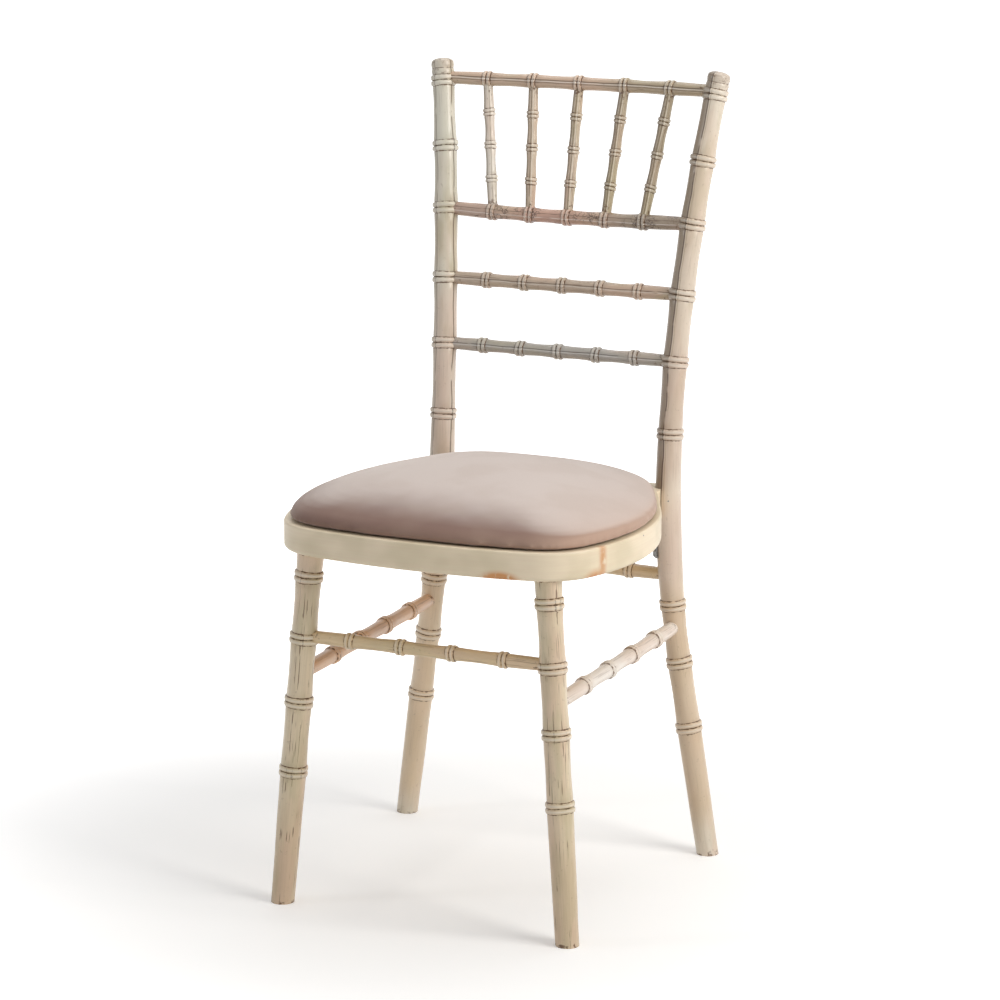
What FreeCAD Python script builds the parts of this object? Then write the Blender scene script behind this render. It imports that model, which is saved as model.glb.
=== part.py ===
import FreeCAD, Part
import collections
import math
import os

# Chiavari chair: turned and limewashed beech, with a drop-on upholstered seat pad.
# Millimetres. X runs across the chair, Y from front to back, +Z up. Left is -X, as seen from the front.
# The posts, legs and rails are set out from the point between the back posts, on the floor.
# At the end everything moves together, so that the origin lies in the middle of the footprint.

# Heights named DROP are below the seat frame's underside.

# Back posts: one bent piece each, from the foot to the finial
# The seat ring's rise is above the top of the seat frame. The high ring's share is of the way from the
# gallery rail to the top ring.
POST_HEIGHT = 908.5
POST_WAIST_HEIGHT = 470.0
POST_WAIST_HALF_WIDTH = 144.2
POST_SPLAY_START = 230.0
POST_LOWER_BEND_RADIUS = 1622.0
POST_UPPER_BEND_RADIUS = 3132.0
POST_FOOT_SETBACK = 9.5
POST_FOOT_LEAN = -0.04
POST_LEAN_START = 210.0
POST_LEAN_END = 720.0
POST_LEAN_RADIUS = 2300.0
POST_FOOT_RADIUS = 12.8
POST_LOW_RADIUS = 14.0
POST_SEAT_RADIUS = 15.3
POST_BACK_RADIUS = 14.1
POST_TOP_RADIUS = 12.9
POST_LOW_RING_DROPS = [251.0, 173.5, 105.5]
POST_SEAT_RING_RISE = 61.5
POST_HIGH_RING_SHARE = 0.488
POST_SAW_ALLOWANCE = 6.0
FINIAL_RADIUS = 13.4
FINIAL_CAP_LENGTH = 11.5
FINIAL_DOME_LENGTH = 4.0
FINIAL_GROOVE = 1.3

# Front legs: straight, splayed sideways and forward
LEG_FOOT_HALF_WIDTH = 175.1
LEG_TOP_HALF_WIDTH = 143.5
LEG_FOOT_FORWARD = 351.0
LEG_TOP_FORWARD = 333.8
LEG_FOOT_RADIUS = 13.2
LEG_RADIUS = 14.6
LEG_SHOULDER_RADIUS = 15.2
LEG_RING_DROPS = [250.5, 170.5, 97.5, 27.0]
LEG_TENON_RADIUS = 10.0
LEG_TENON_LENGTH = 20.0

# Rings: each is a pair of half-round beads with a groove between them
POST_BEAD_WIDTH = 6.4
POST_BEAD_HEIGHT = 1.9
RAIL_BEAD_WIDTH = 5.2
RAIL_BEAD_HEIGHT = 1.7
SPINDLE_BEAD_WIDTH = 4.4
SPINDLE_BEAD_HEIGHT = 1.2
WAIST_DEPTH = 0.7

# Rails of the back. A share is of the way from the top of the seat frame to the top rail.
TOP_RAIL_FROM_POST_TOP = 22.0
TOP_RAIL_RADIUS = 8.0
TOP_RAIL_BOW = 5.5
TOP_RING_PITCH = 57.6
TOP_RING_DROP = 4.0
GALLERY_RAIL_SHARE = 0.6678
GALLERY_RAIL_RADIUS = 8.6
GALLERY_RAIL_SAG = 2.0
GALLERY_RING_PITCH = 47.6
UPPER_RAIL_SHARE = 0.49
UPPER_RAIL_RADIUS = 8.2
LOWER_RAIL_SHARE = 0.3211
LOWER_RAIL_RADIUS = 7.8
CROSS_RING_PITCH = 48.0
RAIL_RING_COUNT = 5
RAIL_TENON_RADIUS = 7.0

# Spindles, which fan out from the gallery rail to the top rail
SPINDLE_RADIUS = 6.3
SPINDLE_TENON_RADIUS = 4.8
SPINDLE_RING_COUNT = 3

# Stretchers
FRONT_STRETCHER_DROP = 95.5
FRONT_STRETCHER_RADIUS = 7.7
FRONT_RING_PITCH = 62.0
SIDE_STRETCHER_FRONT_DROP = 138.0
SIDE_STRETCHER_BACK_DROP = 131.5
SIDE_STRETCHER_RADIUS = 8.8
SIDE_FIRST_RING = 78.0
SIDE_RING_PITCH = 66.3
BACK_STRETCHER_DROP = 70.5
BACK_STRETCHER_RADIUS = 7.9
BACK_RING_PITCH = 66.0
STRETCHER_RING_COUNT = 4
STRETCHER_TENON_RADIUS = 7.0

# Each stick's end thins down to its tenon over this share of the plain length beyond its last ring
END_TAPER_SHARE = 0.35

# Fits
TENON_STOP = 3.0
TENON_END_GAP = 0.5
FIT_CLEARANCE = 0.1
SCREW_CLEARANCE = 0.1
NEST_CLEARANCE = 0.25

# Seat frame: a D in plan, with its front bowed and its back corners housed round the posts
SEAT_BOTTOM_HEIGHT = 404.5
SEAT_FRAME_THICKNESS = 32.0
SEAT_FRONT_FORWARD = 370.2
SEAT_FRONT_RADIUS = 761.5
SEAT_FRONT_HALF_ANGLE = 10.1
SEAT_CORNER_RADIUS = 69.7
SEAT_CORNER_END_ANGLE = 67.8
SEAT_SIDE_RADIUS = 262.3
SEAT_TAPER_ANGLE = 25.0
SEAT_BACK_HALF_WIDTH = 141.0
SEAT_BACK_SETBACK = 15.0
SEAT_RAIL_WIDTH = 42.0
SEAT_REBATE_WIDTH = 10.0
SEAT_BOARD_THICKNESS = 8.0
SEAT_BOARD_CLEARANCE = 0.4
SEAT_LOWER_ROUND = 5.0
SEAT_UPPER_ROUND = 2.5
SEAT_FRONT_JOINT_ANGLE = 72.0
SEAT_BACK_JOINT_HALF_WIDTH = 98.0

# Hidden joinery of the seat frame
DOWEL_RADIUS = 4.0
DOWEL_LENGTH = 36.0
DOWEL_SPACING = 14.0
BACK_DOWEL_SETBACK = -12.0
POST_DOWEL_RADIUS = 5.0
POST_DOWEL_IN_RAIL = 24.0
POST_DOWEL_IN_POST = 19.0
BLOCK_THICKNESS = 20.0
BLOCK_LIFT = 2.0
FRONT_BLOCK_REACH = 36.0
BACK_BLOCK_REACH = 26.0
FRONT_BLOCK_ANGLE = 45.0
BACK_BLOCK_ANGLE = 140.0

# Fasteners
SCREW_RADIUS = 2.0
SCREW_HEAD_RADIUS = 3.9
SCREW_HEAD_HEIGHT = 2.4
SCREW_HEAD_TOP_RADIUS = 2.7
FRONT_BLOCK_SCREW_LENGTH = 38.0
BACK_BLOCK_SCREW_LENGTH = 24.0
FRONT_SCREW_SPREAD = 14.0
BACK_SCREW_SPREAD = 22.0
BRACKET_SCREW_LENGTH = 14.0
POST_SCREW_LENGTH = 12.0
NAIL_RADIUS = 1.0
NAIL_HEAD_RADIUS = 2.4
NAIL_HEAD_HEIGHT = 0.8
NAIL_LENGTH = 20.0
CORNER_NAIL_ANGLE = 45.0
SIDE_NAIL_ANGLE = 98.0
PIN_RADIUS = 0.9
POST_PIN_LENGTH = 16.0
POST_PIN_LIFT = 2.5
POST_PIN_AZIMUTH = 22.0
SIDE_PIN_LENGTH = 38.0
SIDE_PIN_ANGLE = 90.0

# Steel angle brackets under the back corners
BRACKET_THICKNESS = 2.0
BRACKET_WIDTH = 14.0
BRACKET_DROP = 50.0
BRACKET_REACH = 32.0
BRACKET_AZIMUTH = 37.0
BRACKET_RAIL_SCREWS = [0.38, 0.78]
BRACKET_POST_SCREWS = [0.35, 0.80]

# Hook and loop tape between the seat board and the pad
TAPE_WIDTH = 25.0
TAPE_LENGTH = 100.0
HOOK_THICKNESS = 1.4
TAPE_HALF_SPREAD = 70.0
TAPE_FRONT_FORWARD = 290.0
TAPE_BACK_FORWARD = 95.0

# Seat pad
PAD_LIFT = 3.0
PAD_INSET_SCALE = 0.985
PAD_RISE = 49.5
PAD_EDGE_SHARE = 0.43
PAD_EDGE_POWER = 1.5
PAD_EDGE_ROOT = 4.0
PAD_BASE_SCALE = 0.972
PAD_WIDEST_RISE = 5.0
PAD_BACK_SETBACK = 12.0
PAD_BACK_CORNER_RADIUS = 105.0
PAD_CENTRE_FORWARD = 190.0
PAD_SECTION_SCALES = [0.99, 0.97, 0.94, 0.90, 0.84, 0.76, 0.66, 0.54, 0.40, 0.24, 0.08]
COVER_THICKNESS = 1.0
COVER_TURN_UNDER = 28.0
COVER_FOAM_GAP = 0.2
PAD_BOARD_THICKNESS = 6.0
STAPLE_COUNT = 26
STAPLE_CROWN = 10.0
STAPLE_WIRE = 0.7
STAPLE_LEG = 5.0
STAPLE_INSET = 14.0

UP = FreeCAD.Vector(0, 0, 1)
SEAT_TOP_HEIGHT = SEAT_BOTTOM_HEIGHT + SEAT_FRAME_THICKNESS
SEAT_MIDDLE_HEIGHT = SEAT_BOTTOM_HEIGHT + SEAT_FRAME_THICKNESS / 2
SEAT_LEDGE_HEIGHT = SEAT_TOP_HEIGHT - SEAT_BOARD_THICKNESS
HOOK_TOP_HEIGHT = SEAT_TOP_HEIGHT + HOOK_THICKNESS
PAD_BASE_HEIGHT = SEAT_TOP_HEIGHT + PAD_LIFT
TOP_RAIL_HEIGHT = POST_HEIGHT - TOP_RAIL_FROM_POST_TOP
BACK_HEIGHT = TOP_RAIL_HEIGHT - SEAT_TOP_HEIGHT
LOWER_RAIL_HEIGHT = SEAT_TOP_HEIGHT + LOWER_RAIL_SHARE * BACK_HEIGHT
UPPER_RAIL_HEIGHT = SEAT_TOP_HEIGHT + UPPER_RAIL_SHARE * BACK_HEIGHT
GALLERY_RAIL_HEIGHT = SEAT_TOP_HEIGHT + GALLERY_RAIL_SHARE * BACK_HEIGHT
BACK_STRETCHER_HEIGHT = SEAT_BOTTOM_HEIGHT - BACK_STRETCHER_DROP

# Rails between the posts. bow: how far the middle stands back. sag: how far it hangs down.
RAILS = {
    "top_rail": dict(height=TOP_RAIL_HEIGHT, radius=TOP_RAIL_RADIUS, count=RAIL_RING_COUNT,
                     pitch=TOP_RING_PITCH, bow=TOP_RAIL_BOW, sag=0.0),
    "gallery_rail": dict(height=GALLERY_RAIL_HEIGHT, radius=GALLERY_RAIL_RADIUS, count=RAIL_RING_COUNT,
                         pitch=GALLERY_RING_PITCH, bow=0.0, sag=GALLERY_RAIL_SAG),
    "upper_cross_rail": dict(height=UPPER_RAIL_HEIGHT, radius=UPPER_RAIL_RADIUS, count=RAIL_RING_COUNT,
                             pitch=CROSS_RING_PITCH, bow=0.0, sag=0.0),
    "lower_cross_rail": dict(height=LOWER_RAIL_HEIGHT, radius=LOWER_RAIL_RADIUS, count=RAIL_RING_COUNT,
                             pitch=CROSS_RING_PITCH, bow=0.0, sag=0.0),
    "back_stretcher": dict(height=BACK_STRETCHER_HEIGHT, radius=BACK_STRETCHER_RADIUS,
                           count=STRETCHER_RING_COUNT, pitch=BACK_RING_PITCH, bow=0.0, sag=0.0),
}

# Working values: a length that no piece reaches, the same place, and the step for a curve's direction
BEYOND = 2 * POST_HEIGHT
SAME_PLACE = 0.01
TANGENT_STEP = 0.5


def vec(x, y, z=0.0):
    return FreeCAD.Vector(x, y, z)


def unit(vector):
    return vector * (1.0 / vector.Length)


def polar(angle, radius=1.0):
    """Plan vector at an angle that turns from straight ahead (-Y) towards +X."""
    turn = math.radians(angle)
    return vec(radius * math.sin(turn), -radius * math.cos(turn))


# Centre lines
def post_half_width(height):
    if height >= POST_WAIST_HEIGHT:
        return POST_WAIST_HALF_WIDTH + (height - POST_WAIST_HEIGHT) ** 2 / (2 * POST_UPPER_BEND_RADIUS)
    bent = max(height, POST_SPLAY_START) - POST_WAIST_HEIGHT
    half_width = POST_WAIST_HALF_WIDTH + bent ** 2 / (2 * POST_LOWER_BEND_RADIUS)
    straight = max(POST_SPLAY_START - height, 0.0)
    return half_width - straight * bent / POST_LOWER_BEND_RADIUS


def post_setback(height):
    bent = min(max(height, POST_LEAN_START), POST_LEAN_END) - POST_LEAN_START
    straight = max(height - POST_LEAN_END, 0.0)
    leaned = bent ** 2 / 2 + straight * (POST_LEAN_END - POST_LEAN_START)
    return POST_FOOT_SETBACK + POST_FOOT_LEAN * height + leaned / POST_LEAN_RADIUS


def post_point(height):
    """Centre line of the right back post. The left one is its mirror image, as with every other pair."""
    return vec(post_half_width(height), post_setback(height), height)


def leg_point(height):
    share = height / SEAT_BOTTOM_HEIGHT
    half_width = LEG_FOOT_HALF_WIDTH + share * (LEG_TOP_HALF_WIDTH - LEG_FOOT_HALF_WIDTH)
    forward = LEG_FOOT_FORWARD + share * (LEG_TOP_FORWARD - LEG_FOOT_FORWARD)
    return vec(half_width, -forward, height)


def mirrored(point):
    return vec(-point.x, point.y, point.z)


def tangent(path, place):
    return unit(path(place + TANGENT_STEP) - path(place - TANGENT_STEP))


def slab(bottom, top):
    """Everything between two heights."""
    return Part.makeBox(2 * BEYOND, 2 * BEYOND, top - bottom, vec(-BEYOND, -BEYOND, bottom))


# Turned work
def ring_edges(centre, radius, bead_width, bead_height):
    """Outline of two half-round beads, centred on the groove between them."""
    edges = []
    for start in (centre - bead_width, centre):
        first = vec(radius, 0, start)
        crest = vec(radius + bead_height, 0, start + bead_width / 2)
        last = vec(radius, 0, start + bead_width)
        edges.append(Part.Arc(first, crest, last).toShape())
    return edges


def turned_profile(length, ends, rings, bead, waist=WAIST_DEPTH):
    """Outline from the axis out and back. ends: (tenon radius, tenon length) at each end.
    rings: (distance, radius) of each ring."""
    bead_width, bead_height = bead
    (start_radius, start_tenon), (end_radius, end_tenon) = ends
    start_taper = END_TAPER_SHARE * (rings[0][0] - bead_width - start_tenon)
    end_taper = END_TAPER_SHARE * (length - end_tenon - rings[-1][0] - bead_width)
    edges = [Part.makeLine(vec(0, 0, 0), vec(start_radius, 0, 0))]
    place = vec(start_radius, 0, start_tenon)
    if start_tenon > 0:
        edges.append(Part.makeLine(vec(start_radius, 0, 0), place))
    taper_end = vec(rings[0][1] - waist, 0, start_tenon + start_taper)
    edges.append(Part.makeLine(place, taper_end))
    place = taper_end
    for distance, radius in rings:
        ring_start = vec(radius, 0, distance - bead_width)
        middle = (place + ring_start) * 0.5
        if place.x > radius - waist / 2:
            middle = middle + vec(-waist, 0, 0)
            edges.append(Part.Arc(place, middle, ring_start).toShape())
        else:
            edges.append(Part.makeLine(place, ring_start))
        edges.extend(ring_edges(distance, radius, bead_width, bead_height))
        place = vec(radius, 0, distance + bead_width)
    taper_start = vec(rings[-1][1] - waist, 0, length - end_tenon - end_taper)
    edges.append(Part.makeLine(place, taper_start))
    shoulder = vec(end_radius, 0, length - end_tenon)
    edges.append(Part.makeLine(taper_start, shoulder))
    if end_tenon > 0:
        edges.append(Part.makeLine(shoulder, vec(end_radius, 0, length)))
    edges.append(Part.makeLine(vec(end_radius, 0, length), vec(0, 0, length)))
    edges.append(Part.makeLine(vec(0, 0, length), vec(0, 0, 0)))
    return edges


def revolve(edges):
    face = Part.Face(Part.Wire(edges))
    return face.revolve(vec(0, 0, 0), UP, 360)


def placed(shape, origin, direction):
    turned = shape.copy()
    turned.Placement = FreeCAD.Placement(origin, FreeCAD.Rotation(UP, direction))
    return turned


def rod(start, direction, radius, length):
    return Part.makeCylinder(radius, length, start, direction)


def turned_between(first, last, radius, tenon_radius, tenon_lengths, rings, bead):
    """Straight turned stick between two points, with a round tenon at each end."""
    length = (last - first).Length
    ends = [(tenon_radius, tenon) for tenon in tenon_lengths]
    profile = turned_profile(length, ends, [(distance, radius) for distance in rings], bead)
    return placed(revolve(profile), first, unit(last - first))


def ring_solid(path, place, radius, bead):
    bead_width, bead_height = bead
    edges = [Part.makeLine(vec(0, 0, -bead_width), vec(radius, 0, -bead_width))]
    edges.extend(ring_edges(0.0, radius, bead_width, bead_height))
    edges.append(Part.makeLine(vec(radius, 0, bead_width), vec(0, 0, bead_width)))
    edges.append(Part.makeLine(vec(0, 0, bead_width), vec(0, 0, -bead_width)))
    return placed(revolve(edges), path(place), tangent(path, place))


def circle(centre, direction, radius):
    return Part.Wire(Part.makeCircle(radius, centre, direction))


def bent_between_rings(path, first, last, bead_width, waist, steps=4):
    """Length of a bent stick from one ring's end to the next ring's start."""
    (first_place, first_radius), (last_place, last_radius) = first, last
    first_way = tangent(path, first_place)
    last_way = tangent(path, last_place)
    wires = [circle(path(first_place) + first_way * bead_width, first_way, first_radius)]
    for step in range(1, steps):
        share = step / steps
        place = first_place + share * (last_place - first_place)
        slack = waist * math.sin(math.pi * share)
        radius = first_radius + share * (last_radius - first_radius) - slack
        wires.append(circle(path(place), tangent(path, place), radius))
    wires.append(circle(path(last_place) - last_way * bead_width, last_way, last_radius))
    return Part.makeLoft(wires, True, False)


def joined(lengths):
    """One stick from lengths that meet on shared round ends: the ends that meet are left out."""
    faces = [face for length in lengths for face in length.Faces]
    ends = [face for face in faces if isinstance(face.Surface, Part.Plane)]

    def is_inner(face):
        centre = face.CenterOfMass
        return sum((other.CenterOfMass - centre).Length < SAME_PLACE for other in ends) > 1

    skin = [face for face in faces if face not in ends or not is_inner(face)]
    shell = Part.Shell(skin)
    shell.sewShape()
    return Part.Solid(shell)


# Back posts
def post_rings():
    """Height and radius of each ring, from the floor up."""
    low = [(SEAT_BOTTOM_HEIGHT - drop, POST_LOW_RADIUS) for drop in POST_LOW_RING_DROPS]
    seat_ring = SEAT_TOP_HEIGHT + POST_SEAT_RING_RISE
    back_heights = [seat_ring, LOWER_RAIL_HEIGHT, UPPER_RAIL_HEIGHT, GALLERY_RAIL_HEIGHT]
    back = [(height, POST_BACK_RADIUS) for height in back_heights]
    top_ring = TOP_RAIL_HEIGHT - TOP_RING_DROP
    high_ring = GALLERY_RAIL_HEIGHT + POST_HIGH_RING_SHARE * (top_ring - GALLERY_RAIL_HEIGHT)
    return low + back + [(high_ring, POST_TOP_RADIUS + WAIST_DEPTH), (top_ring, POST_TOP_RADIUS)]


def finial(path, ring_height):
    """Band, groove and domed cap above the top ring."""
    way = tangent(path, ring_height)
    base = path(ring_height) + way * POST_BEAD_WIDTH
    length = (POST_HEIGHT - base.z) / way.z
    cap_start = length - FINIAL_CAP_LENGTH
    band_end = cap_start - FINIAL_GROOVE
    cap_edge = length - FINIAL_DOME_LENGTH
    dome_radius = POST_TOP_RADIUS - FINIAL_DOME_LENGTH
    outline = [vec(POST_TOP_RADIUS, 0, height) for height in (0.0, band_end, cap_start, cap_edge)]
    start, band_top, cap_base, cap_top = outline
    edges = [Part.makeLine(vec(0, 0, 0), start)]
    edges.append(Part.Arc(start, vec(FINIAL_RADIUS, 0, band_end / 2), band_top).toShape())
    edges.append(Part.makeLine(band_top, cap_base))
    edges.append(Part.Arc(cap_base, vec(FINIAL_RADIUS, 0, (cap_start + cap_edge) / 2), cap_top).toShape())
    bulge = FINIAL_DOME_LENGTH * math.sqrt(0.5)
    shoulder = vec(dome_radius + bulge, 0, cap_edge + bulge)
    edges.append(Part.Arc(cap_top, shoulder, vec(dome_radius, 0, length)).toShape())
    edges.append(Part.makeLine(vec(dome_radius, 0, length), vec(0, 0, length)))
    edges.append(Part.makeLine(vec(0, 0, length), vec(0, 0, 0)))
    return placed(revolve(edges), base, way)


def back_post():
    path = post_point
    bead = (POST_BEAD_WIDTH, POST_BEAD_HEIGHT)
    rings = post_rings()
    lengths = [ring_solid(path, height, radius, bead) for height, radius in rings]
    for first, last in zip(rings, rings[1:]):
        at_seat = first[0] < SEAT_BOTTOM_HEIGHT < last[0]
        waist = POST_BACK_RADIUS - POST_SEAT_RADIUS if at_seat else WAIST_DEPTH
        lengths.append(bent_between_rings(path, first, last, POST_BEAD_WIDTH, waist))
    foot_top = path(rings[0][0]) - tangent(path, rings[0][0]) * POST_BEAD_WIDTH
    foot_way = tangent(path, 0.0)
    foot_end = path(-POST_SAW_ALLOWANCE)
    foot = Part.makeLoft([circle(foot_end, foot_way, POST_FOOT_RADIUS),
                          circle(foot_top, tangent(path, rings[0][0]), rings[0][1])], True, True)
    lengths.append(foot)
    lengths.append(finial(path, rings[-1][0]))
    return level_foot(joined(lengths))


def level_foot(shape):
    """Saws the foot flat on the floor."""
    return shape.cut(slab(-BEYOND, 0.0)).Solids[0]


# Front legs
def front_leg():
    start = leg_point(0.0)
    way = unit(leg_point(SEAT_BOTTOM_HEIGHT) - start)
    first = start - way * POST_SAW_ALLOWANCE
    length = SEAT_BOTTOM_HEIGHT / way.z + 2 * POST_SAW_ALLOWANCE
    edges = [Part.makeLine(vec(0, 0, 0), vec(LEG_FOOT_RADIUS, 0, 0))]
    place = vec(LEG_FOOT_RADIUS, 0, 0)
    for index, drop in enumerate(LEG_RING_DROPS):
        distance = POST_SAW_ALLOWANCE + (SEAT_BOTTOM_HEIGHT - drop) / way.z
        ring_start = vec(LEG_RADIUS, 0, distance - POST_BEAD_WIDTH)
        if index == 0:
            edges.append(Part.makeLine(place, ring_start))
        else:
            middle = (place + ring_start) * 0.5 - vec(WAIST_DEPTH, 0, 0)
            edges.append(Part.Arc(place, middle, ring_start).toShape())
        edges.extend(ring_edges(distance, LEG_RADIUS, POST_BEAD_WIDTH, POST_BEAD_HEIGHT))
        place = vec(LEG_RADIUS, 0, distance + POST_BEAD_WIDTH)
    shoulder = vec(LEG_SHOULDER_RADIUS, 0, length)
    edges.append(Part.makeLine(place, shoulder))
    edges.append(Part.makeLine(shoulder, vec(0, 0, length)))
    edges.append(Part.makeLine(vec(0, 0, length), vec(0, 0, 0)))
    leg = level_foot(placed(revolve(edges), first, way)).cut(slab(SEAT_BOTTOM_HEIGHT, BEYOND))
    tenon_start = leg_point(SEAT_BOTTOM_HEIGHT) - way * POST_SAW_ALLOWANCE
    tenon = rod(tenon_start, way, LEG_TENON_RADIUS, LEG_TENON_LENGTH + POST_SAW_ALLOWANCE)
    return leg.fuse(tenon).Solids[0]


def leg_bore():
    start = leg_point(SEAT_BOTTOM_HEIGHT)
    way = unit(start - leg_point(0.0))
    length = LEG_TENON_LENGTH + TENON_END_GAP + POST_SAW_ALLOWANCE
    return rod(start - way * POST_SAW_ALLOWANCE, way, LEG_TENON_RADIUS + FIT_CLEARANCE, length)


# Rails of the back
def centred(count, pitch):
    return [(index - (count - 1) / 2) * pitch for index in range(count)]


def rail_path(rail):
    """Centre line of a rail from post to post, by its distance from the middle."""
    height = rail["height"]
    reach = post_half_width(height)

    def path(across):
        share = 1 - (across / reach) ** 2
        return vec(across, post_setback(height) + rail["bow"] * share, height - rail["sag"] * share)
    return path


def rail_end(rail):
    return post_half_width(rail["height"]) - TENON_STOP


def tenon_length(socket_radius, bead_height=POST_BEAD_HEIGHT):
    """Length of a tenon from its shoulder, just clear of the socket's rings, to its stop near the axis."""
    return socket_radius + bead_height - TENON_STOP + TENON_END_GAP


def socket(stop, way, tenon_radius, length):
    """Bore for a tenon that ends at stop and points along way."""
    return rod(stop + way * TENON_END_GAP, way * -1, tenon_radius + FIT_CLEARANCE, length + TENON_END_GAP)


def rail_between_posts(rail):
    path = rail_path(rail)
    end = rail_end(rail)
    radius = rail["radius"]
    rings = centred(rail["count"], rail["pitch"])
    bead = (RAIL_BEAD_WIDTH, RAIL_BEAD_HEIGHT)
    tenon = tenon_length(POST_SEAT_RADIUS)
    if rail["bow"] == 0.0 and rail["sag"] == 0.0:
        places = [end + across for across in rings]
        return turned_between(path(-end), path(end), radius, RAIL_TENON_RADIUS, (tenon, tenon), places, bead)
    lengths = [ring_solid(path, across, radius, bead) for across in rings]
    ends = [(across, radius) for across in rings]
    for first, last in zip(ends, ends[1:]):
        lengths.append(bent_between_rings(path, first, last, RAIL_BEAD_WIDTH, WAIST_DEPTH))
    plain = end - tenon - rings[-1] - RAIL_BEAD_WIDTH
    for hand in (-1, 1):
        outer = hand * rings[-1]
        ring_end = path(outer) + tangent(path, outer) * (hand * RAIL_BEAD_WIDTH)
        taper = hand * (end - tenon - END_TAPER_SHARE * plain)
        way = tangent(path, hand * end)
        shoulder = path(hand * end) - way * (hand * tenon)
        wires = [circle(ring_end, tangent(path, outer), radius)]
        wires.append(circle(path(taper), tangent(path, taper), radius - WAIST_DEPTH))
        wires.append(circle(shoulder, way, RAIL_TENON_RADIUS))
        wires.append(circle(path(hand * end), way, RAIL_TENON_RADIUS))
        lengths.append(Part.makeLoft(wires, True, True))
    return joined(lengths)


def rail_bore(rail):
    """Bore in the right post for one rail."""
    path = rail_path(rail)
    end = rail_end(rail)
    return socket(path(end), tangent(path, end), RAIL_TENON_RADIUS, tenon_length(POST_SEAT_RADIUS))


# Spindles
def spindle_ends(index):
    top = rail_path(RAILS["top_rail"])(centred(RAIL_RING_COUNT, TOP_RING_PITCH)[index])
    foot = rail_path(RAILS["gallery_rail"])(centred(RAIL_RING_COUNT, GALLERY_RING_PITCH)[index])
    way = unit(top - foot)
    return foot + way * TENON_STOP, top - way * TENON_STOP


def spindle_tenons():
    """Lengths of the tenons in the gallery rail and in the top rail."""
    return [tenon_length(radius, RAIL_BEAD_HEIGHT) for radius in (GALLERY_RAIL_RADIUS, TOP_RAIL_RADIUS)]


def spindle(index):
    foot, top = spindle_ends(index)
    length = (top - foot).Length
    tenons = spindle_tenons()
    rings = [length * (ring + 1) / (SPINDLE_RING_COUNT + 1) for ring in range(SPINDLE_RING_COUNT)]
    bead = (SPINDLE_BEAD_WIDTH, SPINDLE_BEAD_HEIGHT)
    return turned_between(foot, top, SPINDLE_RADIUS, SPINDLE_TENON_RADIUS, tenons, rings, bead)


def spindle_bores(index):
    foot, top = spindle_ends(index)
    way = unit(top - foot)
    foot_tenon, top_tenon = spindle_tenons()
    return (socket(foot, way * -1, SPINDLE_TENON_RADIUS, foot_tenon),
            socket(top, way, SPINDLE_TENON_RADIUS, top_tenon))


# Stretchers
def stick_ends(first, last):
    """Ends of a stretcher, stopped short of the centre lines of the two pieces that hold it."""
    way = unit(last - first)
    return first + way * TENON_STOP, last - way * TENON_STOP


def stretcher_bores(first, last):
    start, end = stick_ends(first, last)
    way = unit(last - first)
    depth = tenon_length(POST_SEAT_RADIUS)
    return (socket(start, way * -1, STRETCHER_TENON_RADIUS, depth),
            socket(end, way, STRETCHER_TENON_RADIUS, depth))


def front_stretcher_line():
    right = leg_point(SEAT_BOTTOM_HEIGHT - FRONT_STRETCHER_DROP)
    return mirrored(right), right


def side_stretcher_line():
    front = leg_point(SEAT_BOTTOM_HEIGHT - SIDE_STRETCHER_FRONT_DROP)
    back = post_point(SEAT_BOTTOM_HEIGHT - SIDE_STRETCHER_BACK_DROP)
    return front, back


def front_stretcher():
    start, end = stick_ends(*front_stretcher_line())
    middle = (end - start).Length / 2
    rings = [middle + across for across in centred(STRETCHER_RING_COUNT, FRONT_RING_PITCH)]
    tenon = tenon_length(LEG_RADIUS)
    return turned_between(start, end, FRONT_STRETCHER_RADIUS, STRETCHER_TENON_RADIUS, (tenon, tenon), rings,
                          (RAIL_BEAD_WIDTH, RAIL_BEAD_HEIGHT))


def side_stretcher():
    start, end = stick_ends(*side_stretcher_line())
    rings = [SIDE_FIRST_RING - TENON_STOP + ring * SIDE_RING_PITCH for ring in range(STRETCHER_RING_COUNT)]
    tenons = (tenon_length(LEG_RADIUS), tenon_length(POST_SEAT_RADIUS))
    return turned_between(start, end, SIDE_STRETCHER_RADIUS, STRETCHER_TENON_RADIUS, tenons, rings,
                          (RAIL_BEAD_WIDTH, RAIL_BEAD_HEIGHT))


# Seat plan: three arcs and a straight taper on each side of the middle
FRONT_CENTRE = vec(0, SEAT_FRONT_RADIUS - SEAT_FRONT_FORWARD)
CORNER_CENTRE = FRONT_CENTRE + polar(SEAT_FRONT_HALF_ANGLE, SEAT_FRONT_RADIUS - SEAT_CORNER_RADIUS)
SIDE_CENTRE = CORNER_CENTRE - polar(SEAT_CORNER_END_ANGLE, SEAT_SIDE_RADIUS - SEAT_CORNER_RADIUS)
TAPER_START_ANGLE = 90.0 + SEAT_TAPER_ANGLE
TAPER_WAY = polar(TAPER_START_ANGLE + 90.0)
SEAT_HALF_WIDTH = SIDE_CENTRE.x + SEAT_SIDE_RADIUS


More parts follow.
